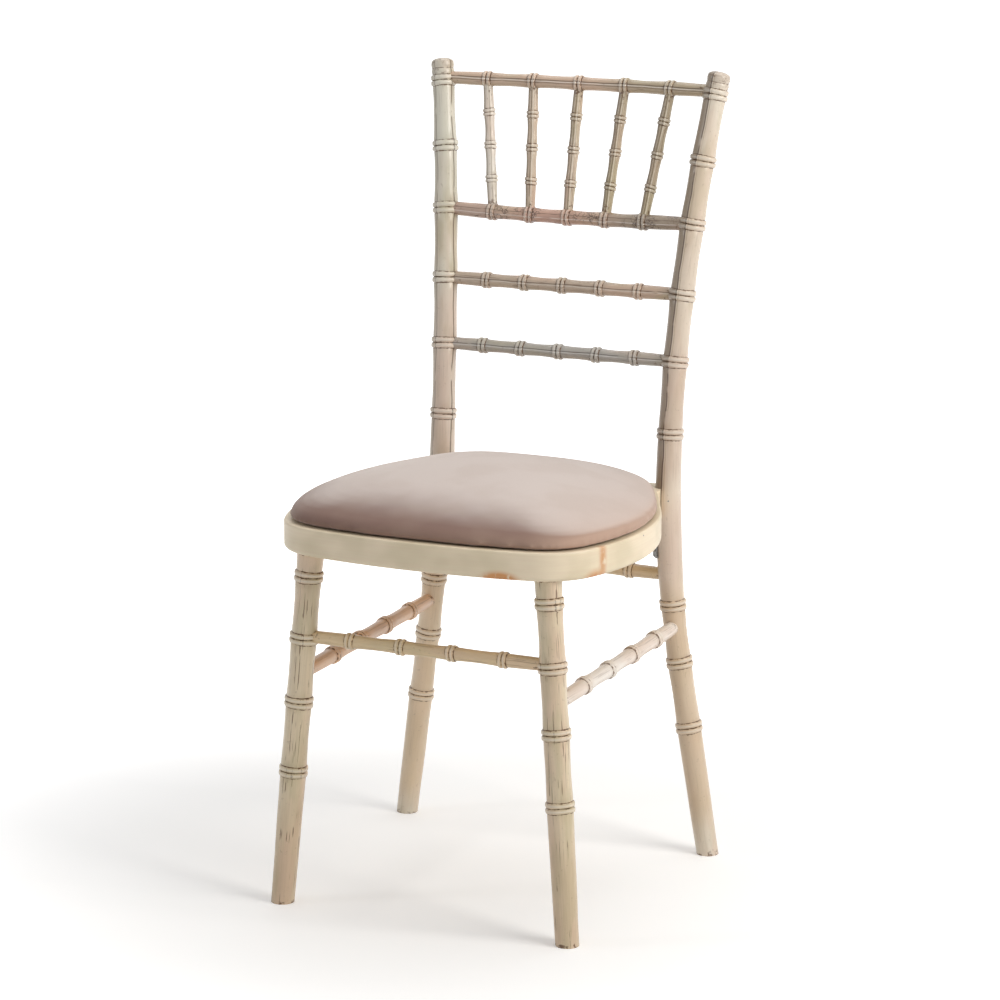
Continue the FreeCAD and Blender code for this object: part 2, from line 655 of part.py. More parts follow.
def seat_arcs(inset):
    """Points of the right half, from the middle of the front to the start of the taper."""
    corner_middle = (SEAT_FRONT_HALF_ANGLE + SEAT_CORNER_END_ANGLE) / 2
    side_middle = (SEAT_CORNER_END_ANGLE + TAPER_START_ANGLE) / 2
    return [FRONT_CENTRE + polar(SEAT_FRONT_HALF_ANGLE, SEAT_FRONT_RADIUS - inset),
            CORNER_CENTRE + polar(corner_middle, SEAT_CORNER_RADIUS - inset),
            CORNER_CENTRE + polar(SEAT_CORNER_END_ANGLE, SEAT_CORNER_RADIUS - inset),
            SIDE_CENTRE + polar(side_middle, SEAT_SIDE_RADIUS - inset),
            SIDE_CENTRE + polar(TAPER_START_ANGLE, SEAT_SIDE_RADIUS - inset)]


def closed_outline(inset, tail, place=lambda point: point):
    """Closed wire of the seat's front and sides at an inset. The tail is a list of curves for the right back:
    two points for a line, three for an arc. place moves each point."""
    points = seat_arcs(inset)
    right = [points[0:3], points[2:5]] + tail
    left = [[mirrored(point) for point in reversed(curve)] for curve in reversed(right)]
    front = [mirrored(points[0]), FRONT_CENTRE + polar(0.0, SEAT_FRONT_RADIUS - inset), points[0]]
    back = [right[-1][-1], mirrored(right[-1][-1])]
    edges = []
    for curve in [front] + right + [back] + left:
        moved = [place(point) for point in curve]
        if len(moved) == 3:
            edges.append(Part.Arc(*moved).toShape())
        else:
            edges.append(Part.makeLine(*moved))
    return Part.Wire(edges)


def taper_point(inset, setback):
    """Where the tapered side at an inset reaches a setback."""
    start = seat_arcs(inset)[-1]
    return start + TAPER_WAY * ((setback - start.y) / TAPER_WAY.y)


def inner_outline(inset, setback):
    return closed_outline(inset, [[seat_arcs(inset)[-1], taper_point(inset, setback)]])


def outer_outline():
    start = seat_arcs(0.0)[-1]
    elbow = start + TAPER_WAY * ((SEAT_BACK_HALF_WIDTH - start.x) / TAPER_WAY.x)
    corner = vec(SEAT_BACK_HALF_WIDTH, SEAT_BACK_SETBACK)
    return closed_outline(0.0, [[start, elbow], [elbow, corner]])


def prism(wire, bottom, thickness):
    solid = Part.Face(wire).extrude(vec(0, 0, thickness))
    solid.translate(vec(0, 0, bottom))
    return solid


def rounded_rim(solid, height, radius):
    """Rounds the front and side edges at one height, up to the start of the tapers."""
    rim = []
    for edge in solid.Edges:
        box = edge.BoundBox
        level = abs(box.ZMin - height) < SAME_PLACE and abs(box.ZMax - height) < SAME_PLACE
        if level and box.YMax < seat_arcs(0.0)[-1].y + SAME_PLACE:
            rim.append(edge)
    return solid.makeFillet(radius, rim)


# Seat frame
def seat_frame_ring():
    back = SEAT_BACK_SETBACK - SEAT_RAIL_WIDTH
    ledge = SEAT_RAIL_WIDTH - SEAT_REBATE_WIDTH
    solid = prism(outer_outline(), SEAT_BOTTOM_HEIGHT, SEAT_FRAME_THICKNESS)
    solid = rounded_rim(solid, SEAT_BOTTOM_HEIGHT, SEAT_LOWER_ROUND)
    solid = rounded_rim(solid, SEAT_TOP_HEIGHT, SEAT_UPPER_ROUND)
    opening = prism(inner_outline(SEAT_RAIL_WIDTH, back), SEAT_BOTTOM_HEIGHT, SEAT_FRAME_THICKNESS)
    rebate_back = back + SEAT_REBATE_WIDTH
    rebate = prism(inner_outline(ledge, rebate_back), SEAT_LEDGE_HEIGHT, SEAT_BOARD_THICKNESS)
    bores = [post_nest(), leg_bore()]
    return solid.cut([opening, rebate] + bores + [mirror_image(bore) for bore in bores])


def post_nest():
    """Housing in the seat frame's back corner, where the post stands."""
    centre = post_point(SEAT_MIDDLE_HEIGHT)
    way = unit(post_point(SEAT_TOP_HEIGHT) - post_point(SEAT_BOTTOM_HEIGHT))
    start = centre - way * SEAT_FRAME_THICKNESS
    return rod(start, way, POST_SEAT_RADIUS + NEST_CLEARANCE, 2 * SEAT_FRAME_THICKNESS)


def front_region():
    """Space ahead of the two joints between the front rail and the side rails."""
    ray = polar(SEAT_FRONT_JOINT_ANGLE)
    apex = SIDE_CENTRE - ray * (SIDE_CENTRE.x / ray.x)
    far = SIDE_CENTRE + ray * (2 * SEAT_SIDE_RADIUS)
    ahead = vec(far.x, -2 * SEAT_FRONT_FORWARD)
    points = [apex, far, ahead, mirrored(ahead), mirrored(far), apex]
    return prism(Part.makePolygon(points), SEAT_BOTTOM_HEIGHT, SEAT_FRAME_THICKNESS)


def back_region():
    """Space between the two joints at the ends of the back rail."""
    corner = vec(-SEAT_BACK_JOINT_HALF_WIDTH, SEAT_BACK_SETBACK - SEAT_RAIL_WIDTH, SEAT_BOTTOM_HEIGHT)
    return Part.makeBox(2 * SEAT_BACK_JOINT_HALF_WIDTH, SEAT_RAIL_WIDTH, SEAT_FRAME_THICKNESS, corner)


def seat_rails():
    ring = seat_frame_ring()
    ahead = front_region()
    behind = back_region()
    sides = ring.cut([ahead, behind]).Solids
    return {"seat_front_rail": ring.common(ahead).Solids[0],
            "seat_back_rail": ring.common(behind).Solids[0],
            "seat_left_rail": min(sides, key=lambda solid: solid.CenterOfMass.x),
            "seat_right_rail": max(sides, key=lambda solid: solid.CenterOfMass.x)}


def seat_board():
    inset = SEAT_RAIL_WIDTH - SEAT_REBATE_WIDTH + SEAT_BOARD_CLEARANCE
    setback = SEAT_BACK_SETBACK - inset
    return prism(inner_outline(inset, setback), SEAT_LEDGE_HEIGHT, SEAT_BOARD_THICKNESS)


# Joinery of the seat frame
def dowel_axes():
    """Start and direction of each dowel that joins two seat rails."""
    axes = []
    middle = SEAT_SIDE_RADIUS - SEAT_RAIL_WIDTH / 2
    front = SIDE_CENTRE + polar(SEAT_FRONT_JOINT_ANGLE, middle)
    front_way = polar(SEAT_FRONT_JOINT_ANGLE + 90.0)
    back = vec(SEAT_BACK_JOINT_HALF_WIDTH, BACK_DOWEL_SETBACK)
    for point, way in ((front, front_way), (back, vec(1, 0))):
        for rise in (-DOWEL_SPACING / 2, DOWEL_SPACING / 2):
            start = point - way * (DOWEL_LENGTH / 2) + UP * (SEAT_MIDDLE_HEIGHT + rise)
            axes.append((start, way))
            axes.append((mirrored(start), mirrored(way)))
    return axes


def dowel_bores():
    radius = DOWEL_RADIUS + FIT_CLEARANCE
    length = DOWEL_LENGTH + 2 * TENON_END_GAP
    return [rod(start - way * TENON_END_GAP, way, radius, length) for start, way in dowel_axes()]


def post_dowel(spare=0.0):
    """Dowel between the side rail and the post, level, straight across the chair."""
    start = post_point(SEAT_MIDDLE_HEIGHT) - vec(POST_SEAT_RADIUS + POST_DOWEL_IN_RAIL + spare, 0)
    length = POST_DOWEL_IN_RAIL + POST_DOWEL_IN_POST + 2 * spare
    radius = POST_DOWEL_RADIUS + (FIT_CLEARANCE if spare else 0.0)
    return rod(start, vec(1, 0), radius, length)


def region_beyond(way, distance, bottom, thickness):
    """Everything further along a plan direction than a distance, between two heights."""
    region = Part.makeBox(BEYOND, 2 * BEYOND, thickness, vec(distance, -BEYOND, bottom))
    region.rotate(vec(0, 0, 0), UP, math.degrees(math.atan2(way.y, way.x)))
    return region


def block_places():
    """Direction, middle of the free face, screw spread and screw length of each corner block on the right."""
    front_way = polar(FRONT_BLOCK_ANGLE)
    crest = CORNER_CENTRE + front_way * (SEAT_CORNER_RADIUS - SEAT_RAIL_WIDTH)
    front_face = crest - front_way * FRONT_BLOCK_REACH
    back_way = polar(BACK_BLOCK_ANGLE)
    corner = taper_point(SEAT_RAIL_WIDTH, SEAT_BACK_SETBACK - SEAT_RAIL_WIDTH)
    back_face = corner - back_way * BACK_BLOCK_REACH
    return [(front_way, front_face, FRONT_SCREW_SPREAD, FRONT_BLOCK_SCREW_LENGTH),
            (back_way, back_face, BACK_SCREW_SPREAD, BACK_BLOCK_SCREW_LENGTH)]


def corner_block(place):
    way, face = place[0], place[1]
    bottom = SEAT_BOTTOM_HEIGHT + BLOCK_LIFT
    outline = inner_outline(SEAT_RAIL_WIDTH, SEAT_BACK_SETBACK - SEAT_RAIL_WIDTH)
    opening = prism(outline, bottom, BLOCK_THICKNESS)
    return opening.common(region_beyond(way, face.dot(way), bottom, BLOCK_THICKNESS)).Solids[0]


# Fasteners
def screw(head_point, way, length):
    """Pan-headed screw. The head's underside is at head_point, and the shank runs along way."""
    head = Part.makeCone(SCREW_HEAD_RADIUS, SCREW_HEAD_TOP_RADIUS, SCREW_HEAD_HEIGHT, head_point, way * -1)
    return head.fuse(rod(head_point, way, SCREW_RADIUS, length)).Solids[0]


def screw_bore(head_point, way, length):
    radius = SCREW_RADIUS + SCREW_CLEARANCE
    return rod(head_point - way * TENON_END_GAP, way, radius, length + 2 * TENON_END_GAP)


def block_screw_places():
    places = []
    for way, face, spread, length in block_places():
        along = vec(-way.y, way.x)
        for offset in (-spread, spread):
            point = face + along * offset + UP * SEAT_MIDDLE_HEIGHT
            places.append((point, way, length))
            places.append((mirrored(point), mirrored(way), length))
    return places


def nail_points():
    inset = SEAT_RAIL_WIDTH - SEAT_REBATE_WIDTH / 2
    points = [FRONT_CENTRE + polar(SEAT_FRONT_HALF_ANGLE / 2, SEAT_FRONT_RADIUS - inset)]
    points.append(CORNER_CENTRE + polar(CORNER_NAIL_ANGLE, SEAT_CORNER_RADIUS - inset))
    for angle in (SIDE_NAIL_ANGLE, TAPER_START_ANGLE):
        points.append(SIDE_CENTRE + polar(angle, SEAT_SIDE_RADIUS - inset))
    points.append(vec(SEAT_BACK_JOINT_HALF_WIDTH / 2, SEAT_BACK_SETBACK - inset))
    return points + [mirrored(point) for point in points]


def nail(point, spare=0.0):
    top = vec(point.x, point.y, SEAT_TOP_HEIGHT)
    head = rod(top, UP * -1, NAIL_HEAD_RADIUS + spare, NAIL_HEAD_HEIGHT)
    return head.fuse(rod(top, UP * -1, NAIL_RADIUS + spare, NAIL_LENGTH + spare)).Solids[0]


def post_pin(spare=0.0):
    """Pin that locks the post dowel, driven in from the front of the post."""
    way = polar(POST_PIN_AZIMUTH) * -1
    start = post_point(SEAT_MIDDLE_HEIGHT + POST_PIN_LIFT) - way * (POST_SEAT_RADIUS + spare)
    return rod(start, way, PIN_RADIUS + spare / 2, POST_PIN_LENGTH + 2 * spare)


def side_pin(spare=0.0):
    """Pin through the side rail into the edge of the seat board."""
    height = SEAT_TOP_HEIGHT - SEAT_BOARD_THICKNESS / 2
    start = SIDE_CENTRE + polar(SIDE_PIN_ANGLE, SEAT_SIDE_RADIUS + spare) + UP * height
    return rod(start, polar(SIDE_PIN_ANGLE) * -1, PIN_RADIUS + spare / 2, SIDE_PIN_LENGTH + 2 * spare)


# Steel brackets under the back corners
def bracket_ways():
    """Level direction from the post along the bracket's upper leg, and the direction across it."""
    turn = math.radians(BRACKET_AZIMUTH)
    return vec(-math.cos(turn), -math.sin(turn)), vec(math.sin(turn), -math.cos(turn))


def bracket_reach(drop):
    """Distance along the bracket's direction to the back of its post leg, this far below the seat frame.
    The leg is straight and meets the post at both ends."""
    way = bracket_ways()[0]
    top = post_point(SEAT_BOTTOM_HEIGHT).dot(way)
    low = post_point(SEAT_BOTTOM_HEIGHT - BRACKET_DROP).dot(way)
    return top + (low - top) * drop / BRACKET_DROP + POST_SEAT_RADIUS + FIT_CLEARANCE


def bracket():
    way, across = bracket_ways()
    tip = bracket_reach(0.0) + BRACKET_REACH
    outline = [(bracket_reach(0.0), 0.0), (tip, 0.0), (tip, BRACKET_THICKNESS)]
    outline.append((bracket_reach(BRACKET_THICKNESS) + BRACKET_THICKNESS, BRACKET_THICKNESS))
    outline.append((bracket_reach(BRACKET_DROP) + BRACKET_THICKNESS, BRACKET_DROP))
    outline.append((bracket_reach(BRACKET_DROP), BRACKET_DROP))
    start = across * (post_point(SEAT_BOTTOM_HEIGHT).dot(across) - BRACKET_WIDTH / 2)
    points = [start + way * reach + UP * (SEAT_BOTTOM_HEIGHT - drop) for reach, drop in outline]
    face = Part.Face(Part.makePolygon(points + points[:1]))
    return face.extrude(across * BRACKET_WIDTH)


def bracket_screw_places():
    """Two screws up into the side rail and two into the post."""
    way, across = bracket_ways()
    middle = across * post_point(SEAT_BOTTOM_HEIGHT).dot(across)
    places = []
    for share in BRACKET_RAIL_SCREWS:
        level = middle + way * (bracket_reach(0.0) + share * BRACKET_REACH)
        places.append((level + UP * (SEAT_BOTTOM_HEIGHT - BRACKET_THICKNESS), UP, BRACKET_SCREW_LENGTH))
    spread = bracket_reach(BRACKET_DROP) - bracket_reach(0.0)
    inward = unit(way * -BRACKET_DROP - UP * spread)
    for share in BRACKET_POST_SCREWS:
        drop = share * BRACKET_DROP
        level = middle + way * (bracket_reach(drop) + BRACKET_THICKNESS)
        places.append((level + UP * (SEAT_BOTTOM_HEIGHT - drop), inward, POST_SCREW_LENGTH))
    return places


# Hook and loop tape
def tape_corners():
    """Middle of each of the four pieces of tape, in plan."""
    return [vec(hand * TAPE_HALF_SPREAD, -forward)
            for forward in (TAPE_FRONT_FORWARD, TAPE_BACK_FORWARD) for hand in (-1, 1)]


def tapes(bottom, top):
    return [Part.makeBox(TAPE_LENGTH, TAPE_WIDTH, top - bottom,
                         vec(point.x - TAPE_LENGTH / 2, point.y - TAPE_WIDTH / 2, bottom))
            for point in tape_corners()]


# Seat pad
def pad_tail():
    """Taper, rounded back corner and back edge of the pad's plan, on the right."""
    start = seat_arcs(0.0)[-1]
    outward = polar(TAPER_START_ANGLE)
    radius = PAD_BACK_CORNER_RADIUS
    along = (PAD_BACK_SETBACK - radius - start.y + outward.y * radius) / TAPER_WAY.y
    corner_start = start + TAPER_WAY * along
    centre = corner_start - outward * radius
    middle = centre + polar((TAPER_START_ANGLE + 180.0) / 2, radius)
    return [[start, corner_start], [corner_start, middle, centre + polar(180.0, radius)]]


def pad_outline(scale, height):
    centre = vec(0, -PAD_CENTRE_FORWARD)

    def place(point):
        return centre + (vec(point.x, point.y) - centre) * scale + UP * height
    return closed_outline(0.0, pad_tail(), place)


def pad_rise(scale):
    """Height of the crown above the pad's base where its plan is scaled down this far."""
    edge = (1 - scale ** PAD_EDGE_POWER) ** (1 / PAD_EDGE_ROOT)
    return PAD_RISE * (PAD_EDGE_SHARE * edge + (1 - PAD_EDGE_SHARE) * (1 - scale ** 2))


def pad_form(skin, base):
    """Crowned form of the pad, this far inside its outer skin, from a base height up."""
    shrink = skin / SEAT_HALF_WIDTH
    outlines = [pad_outline(PAD_INSET_SCALE * PAD_BASE_SCALE - shrink, base)]
    outlines.append(pad_outline(PAD_INSET_SCALE - shrink, PAD_BASE_HEIGHT + PAD_WIDEST_RISE + skin / 2))
    for scale in PAD_SECTION_SCALES:
        height = PAD_BASE_HEIGHT + pad_rise(scale) - skin
        outlines.append(pad_outline(PAD_INSET_SCALE * scale - shrink, height))
    return Part.makeLoft(outlines, True, True)


def pad_cover():
    """Fabric, drawn over the foam and turned under the edge of the board."""
    inside = pad_form(COVER_THICKNESS, PAD_BASE_HEIGHT + COVER_THICKNESS)
    opening_scale = PAD_INSET_SCALE * PAD_BASE_SCALE - COVER_TURN_UNDER / SEAT_HALF_WIDTH
    opening = Part.Face(pad_outline(opening_scale, PAD_BASE_HEIGHT - COVER_THICKNESS))
    opening = opening.extrude(UP * (3 * COVER_THICKNESS))
    return pad_form(0.0, PAD_BASE_HEIGHT).cut(inside).cut(opening).Solids[0]


def pad_board():
    scale = PAD_INSET_SCALE * PAD_BASE_SCALE - (COVER_THICKNESS + COVER_FOAM_GAP) / SEAT_HALF_WIDTH
    board = Part.Face(pad_outline(scale, PAD_BASE_HEIGHT + COVER_THICKNESS))
    return board.extrude(UP * PAD_BOARD_THICKNESS)


def pad_foam():
    top_of_board = PAD_BASE_HEIGHT + COVER_THICKNESS + PAD_BOARD_THICKNESS
    form = pad_form(COVER_THICKNESS + COVER_FOAM_GAP, PAD_BASE_HEIGHT + COVER_THICKNESS)
    return form.cut(slab(0.0, top_of_board)).Solids[0]


def staple_places():
    """Middle and direction of each staple, evenly spaced round the underside."""
    scale = PAD_INSET_SCALE * PAD_BASE_SCALE - STAPLE_INSET / SEAT_HALF_WIDTH
    outline = pad_outline(scale, PAD_BASE_HEIGHT)
    points = outline.discretize(Number=STAPLE_COUNT + 1)
    places = []
    for before, after in zip(points, points[1:]):
        places.append(((before + after) * 0.5, unit(after - before)))
    return places


def staple(middle, way, spare=0.0):
    """Crown under the fabric and two legs up into the board."""
    thick = STAPLE_WIRE + 2 * spare
    solids = [Part.makeBox(STAPLE_CROWN + 2 * spare, thick, STAPLE_WIRE,
                           vec(-STAPLE_CROWN / 2 - spare, -thick / 2, -STAPLE_WIRE))]
    for hand in (-1, 1):
        inner = hand * (STAPLE_CROWN / 2 - STAPLE_WIRE / 2)
        solids.append(Part.makeBox(thick, thick, STAPLE_LEG + STAPLE_WIRE + spare,
                                   vec(inner - thick / 2, -thick / 2, -STAPLE_WIRE)))
    whole = solids[0].fuse(solids[1:]).Solids[0]
    whole.rotate(vec(0, 0, 0), UP, math.degrees(math.atan2(way.y, way.x)))
    whole.translate(middle)
    return whole


# Assembly
def group(solids):
    return Part.makeCompound(solids)


def mirror_image(shape):
    return shape.mirror(vec(0, 0, 0), vec(1, 0, 0))


def frame_sticks(parts, holes):
    """Posts, legs, rails, spindles and stretchers, with the bores they share."""
    parts["right_back_post"] = back_post()
    parts["right_front_leg"] = front_leg()
    parts["right_side_stretcher"] = side_stretcher()
    leg_hole, post_hole = stretcher_bores(*side_stretcher_line())
    holes["right_front_leg"].append(leg_hole)
    holes["right_back_post"].append(post_hole)
    parts["front_stretcher"] = front_stretcher()
    holes["right_front_leg"].append(stretcher_bores(*front_stretcher_line())[1])

    for name, rail in RAILS.items():
        parts[name] = rail_between_posts(rail)
        holes["right_back_post"].append(rail_bore(rail))
    for index in range(RAIL_RING_COUNT):
        parts["spindle_%d" % (index + 1)] = spindle(index)
        foot_bore, top_bore = spindle_bores(index)
        holes["gallery_rail"].append(foot_bore)
        holes["top_rail"].append(top_bore)


def seat_pieces(parts, holes):
    """Seat frame and board, with the dowels, blocks, screws, nails and pins that hold them."""
    parts.update(seat_rails())
    parts["seat_board"] = seat_board()
    front_block, back_block = [corner_block(place) for place in block_places()]
    parts["front_corner_blocks"] = group([front_block, mirror_image(front_block)])
    parts["back_corner_blocks"] = group([back_block, mirror_image(back_block)])
    dowels = [rod(start, way, DOWEL_RADIUS, DOWEL_LENGTH) for start, way in dowel_axes()]
    parts["frame_dowels"] = group(dowels)
    parts["block_screws"] = group([screw(*place) for place in block_screw_places()])
    parts["board_nails"] = group([nail(point) for point in nail_points()])
    parts["hook_tapes"] = group(tapes(SEAT_TOP_HEIGHT, HOOK_TOP_HEIGHT))
    bores = dowel_bores() + [screw_bore(*place) for place in block_screw_places()]
    nail_holes = [nail(point, SCREW_CLEARANCE / 2) for point in nail_points()]
    rails = ("seat_front_rail", "seat_left_rail", "seat_right_rail", "seat_back_rail")
    for name in rails:
        holes[name].extend(bores + nail_holes)
    for name in ("front_corner_blocks", "back_corner_blocks"):
        holes[name].extend(bores)
    holes["seat_board"].extend(nail_holes)


def back_corner_joints(parts, holes):
    """Dowel, pins and steel bracket between each side rail and its post."""
    hole = post_dowel(TENON_END_GAP)
    pin_hole = post_pin(SCREW_CLEARANCE)
    edge_hole = side_pin(SCREW_CLEARANCE)
    screw_holes = [screw_bore(*place) for place in bracket_screw_places()]
    holes["right_back_post"].extend([hole, pin_hole] + screw_holes)
    for name, mirror in (("right", lambda shape: shape), ("left", mirror_image)):
        holes["seat_%s_rail" % name].extend(mirror(tool) for tool in [hole, edge_hole] + screw_holes)
        holes["seat_board"].append(mirror(edge_hole))
    parts["right_back_bracket"] = bracket()
    holes["right_back_bracket"].extend(screw_holes)
    dowel = post_dowel().cut(pin_hole)
    screws = [screw(*place) for place in bracket_screw_places()]
    parts["post_dowels"] = group([dowel, mirror_image(dowel)])
    parts["bracket_screws"] = group(screws + [mirror_image(solid) for solid in screws])
    parts["post_pins"] = group([post_pin(), mirror_image(post_pin())])
    parts["side_pins"] = group([side_pin(), mirror_image(side_pin())])


def pad_pieces(parts, holes):
    parts["loop_tapes"] = group(tapes(HOOK_TOP_HEIGHT, PAD_BASE_HEIGHT + COVER_THICKNESS))
    parts["pad_staples"] = group([staple(middle, way) for middle, way in staple_places()])
    parts["pad_cover"] = pad_cover()
    parts["pad_board"] = pad_board()
    parts["pad_foam"] = pad_foam()
    staple_holes = [staple(middle, way, SCREW_CLEARANCE / 2) for middle, way in staple_places()]
    holes["pad_cover"].extend(staple_holes)
    holes["pad_board"].extend(staple_holes)


def build_parts():
    parts = {}
    holes = collections.defaultdict(list)
    for section in (frame_sticks, seat_pieces, back_corner_joints, pad_pieces):
        section(parts, holes)
    for name, tools in holes.items():
        parts[name] = parts[name].cut(tools)
    for name in [name for name in parts if name.startswith("right_")]:
        parts[name.replace("right_", "left_")] = mirror_image(parts[name])
    return parts


def footprint_middle(parts):
    """Setback of the middle of the whole chair's box."""
    ends = [parts[name] for name in ("seat_front_rail", "right_front_leg", "right_back_post", "pad_cover")]
    boxes = [shape.optimalBoundingBox(True, False) for shape in ends]
    return (min(box.YMin for box in boxes) + max(box.YMax for box in boxes)) / 2


def main():
    parts = build_parts()
    middle = footprint_middle(parts)
    print("footprint middle is %.3f behind the set-out point" % middle)
    os.makedirs("parts", exist_ok=True)
    for name, shape in sorted(parts.items()):
        shape.translate(vec(0, -middle))
        if not shape.isValid():
            print("not valid:", name)
        print("%-22s %2d solids %10.0f mm3" % (name, len(shape.Solids), shape.Volume))
        shape.exportStep(os.path.join("parts", name + ".step"))


main()
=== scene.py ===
import math

import bmesh
import bpy
import numpy
from mathutils import Matrix, Vector


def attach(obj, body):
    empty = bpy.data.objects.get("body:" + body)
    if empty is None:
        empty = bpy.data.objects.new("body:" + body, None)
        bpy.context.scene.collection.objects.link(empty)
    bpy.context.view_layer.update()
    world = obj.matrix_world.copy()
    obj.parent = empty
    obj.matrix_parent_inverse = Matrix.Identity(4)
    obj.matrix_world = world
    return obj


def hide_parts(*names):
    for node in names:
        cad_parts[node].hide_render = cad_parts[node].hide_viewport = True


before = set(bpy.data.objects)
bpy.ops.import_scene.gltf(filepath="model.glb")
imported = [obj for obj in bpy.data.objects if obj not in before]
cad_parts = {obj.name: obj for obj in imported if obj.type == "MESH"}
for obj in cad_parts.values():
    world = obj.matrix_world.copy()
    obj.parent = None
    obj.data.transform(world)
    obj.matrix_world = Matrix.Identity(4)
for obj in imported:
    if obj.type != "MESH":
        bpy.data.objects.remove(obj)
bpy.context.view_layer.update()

bl_info = {
    "name": "Chiavari Chair",
    "version": (1, 0, 0),
    "blender": (4, 5, 0),
    "location": "3D View > Sidebar > Chair",
    "description": "Limewashed turned chair with a drop-on seat pad",
    "category": "Object",
}

# The sizes below are in millimetres and are made metres where a shape is built.
# X runs across the chair, Y from front to back. Right is +X, as seen from the front.
MM = 0.001
RIGHT = Vector((1, 0, 0))
FORWARD = Vector((0, -1, 0))

# The sticks are set out from the point between the back posts, which lies this far behind the origin
SETTING_OUT = 143.325

# Back posts
POST_HEIGHT = 908.5
POST_WAIST_HEIGHT = 470.0
POST_WAIST_HALF_WIDTH = 144.2
POST_SPLAY_START = 230.0
POST_LOWER_BEND_RADIUS = 1622.0
POST_UPPER_BEND_RADIUS = 3132.0
POST_FOOT_SETBACK = 9.5
POST_FOOT_LEAN = -0.04
POST_LEAN_START = 210.0
POST_LEAN_END = 720.0
POST_LEAN_RADIUS = 2300.0
POST_FOOT_RADIUS = 12.8
POST_SEAT_SWELL = 1.2
POST_RINGS = [(153.5, 14.0), (231.0, 14.0), (299.0, 14.0), (498.0, 14.1), (581.0, 14.1), (657.0, 14.1),
              (737.0, 14.1), (808.0, 13.6), (882.5, 12.9)]
SEAT_SPAN = 2
FINIAL_RADIUS = 13.4
FINIAL_NECK_RADIUS = 12.5
FINIAL_CAP_LENGTH = 11.5
FINIAL_DOME_LENGTH = 4.6
DOME_STEPS = 10
FINIAL_GROOVE = 1.3

# Front legs
LEG_FOOT = Vector((175.1, -351.0, 0.0))
LEG_TOP = Vector((143.5, -333.8, 404.5))
LEG_FOOT_RADIUS = 13.2
LEG_RADIUS = 14.6
LEG_SHOULDER_RADIUS = 15.2
LEG_RING_HEIGHTS = [154.0, 234.0, 307.0, 377.5]

# Rails from post to post: height, radius, number of rings and their pitch, and how far the middle stands
# back and hangs down
RAILS = {
    "top_rail": (886.5, 8.0, 5, 57.6, 5.5, 0.0),
    "gallery_rail": (737.0, 8.6, 5, 47.6, 0.0, 2.0),
    "upper_cross_rail": (657.0, 8.2, 5, 48.0, 0.0, 0.0),
    "lower_cross_rail": (581.0, 7.8, 5, 48.0, 0.0, 0.0),
    "back_stretcher": (334.0, 7.9, 4, 66.0, 0.0, 0.0),
}
RAIL_FINISHES = {"top_rail": "top_rail", "gallery_rail": "gallery", "upper_cross_rail": "cross_rail",
                 "lower_cross_rail": "grey_rail", "back_stretcher": "stretcher"}
SPINDLE_FINISHES = ["pale_spindle", "spindle", "spindle", "olive_spindle", "olive_spindle"]
SPINDLE_RADIUS = 6.3
SPINDLE_RINGS = 3

# Stretchers. The front one is given by its height, radius, number of rings and their pitch.
FRONT_STRETCHER = (309.0, 7.7, 4, 62.0)
SIDE_STRETCHER_RADIUS = 8.8
SIDE_STRETCHER_HEIGHTS = (266.5, 273.0)
SIDE_STRETCHER_RINGS = [78.0, 144.3, 210.6, 276.9]

# Tenons, and the taper from a tenon to the full stick
TENON_SHARE = 0.9
TENON_INSET = 6.0
TAPER_LENGTH = 20.0
TAPER_STEP = 0.4

# Bead widths and heights of a ring, for posts and legs, for rails, and for spindles
POST_BEAD = (6.4, 1.9)
RAIL_BEAD = (5.2, 1.7)
SPINDLE_BEAD = (4.4, 1.2)
BEAD_STEPS = 8
WAIST_STEPS = 6
WAIST_DEPTH = 0.7
GROOVE_DEPTH = 0.4
GROOVE_SIDE = 0.9

# How a stick is turned: its facets, how far the hand strays, and what is sawn off below the floor
STICK_SIDES = 56
RING_WOBBLE = 0.8
STICK_WOBBLE = 0.2
WOBBLE_FADE = 25.0
SAW_ALLOWANCE = 5.0
FOOT_STAIN_HEIGHTS = (1.5, 6.0)
TURNED_SHARP_ANGLE = math.radians(50)
SAWN_SHARP_ANGLE = math.radians(30)

# Glaze that a point of a profile holds. Below 0 the wash is rubbed pale instead.
GLAZE_FULL = 1.0
GLAZE_BEAD_SIDE = 0.6
GLAZE_BEAD_CREST = -0.8

# Seat plan, as half angles and radii of its arcs
SEAT_FRONT_FORWARD = 370.2
SEAT_FRONT_RADIUS = 761.5
SEAT_FRONT_HALF_ANGLE = 10.1
SEAT_CORNER_RADIUS = 69.7
SEAT_CORNER_END_ANGLE = 67.8
SEAT_SIDE_RADIUS = 262.3
SEAT_TAPER_ANGLE = 25.0

# Pad: its plan is the seat's, drawn in a little and closed behind, and its sections rise from its base
PAD_BASE_HEIGHT = 439.5
PAD_CENTRE_FORWARD = 190.0
PAD_BACK_SETBACK = 12.0
PAD_BACK_CORNER_RADIUS = 105.0
PAD_INSET_SCALE = 0.985
PAD_BASE_SCALE = 0.990
PAD_WIDEST_RISE = 5.0
PAD_RISE = 49.5
PAD_EDGE_SHARE = 0.43
PAD_EDGE_POWER = 1.5
PAD_EDGE_ROOT = 4.0
PAD_SECTIONS = [0.99, 0.97, 0.94, 0.90, 0.84, 0.76, 0.66, 0.54, 0.40, 0.24, 0.08]
PAD_ARC_STEP = 6.0
PAD_SHIFT = Vector((1.0, 0.0, 0.0))

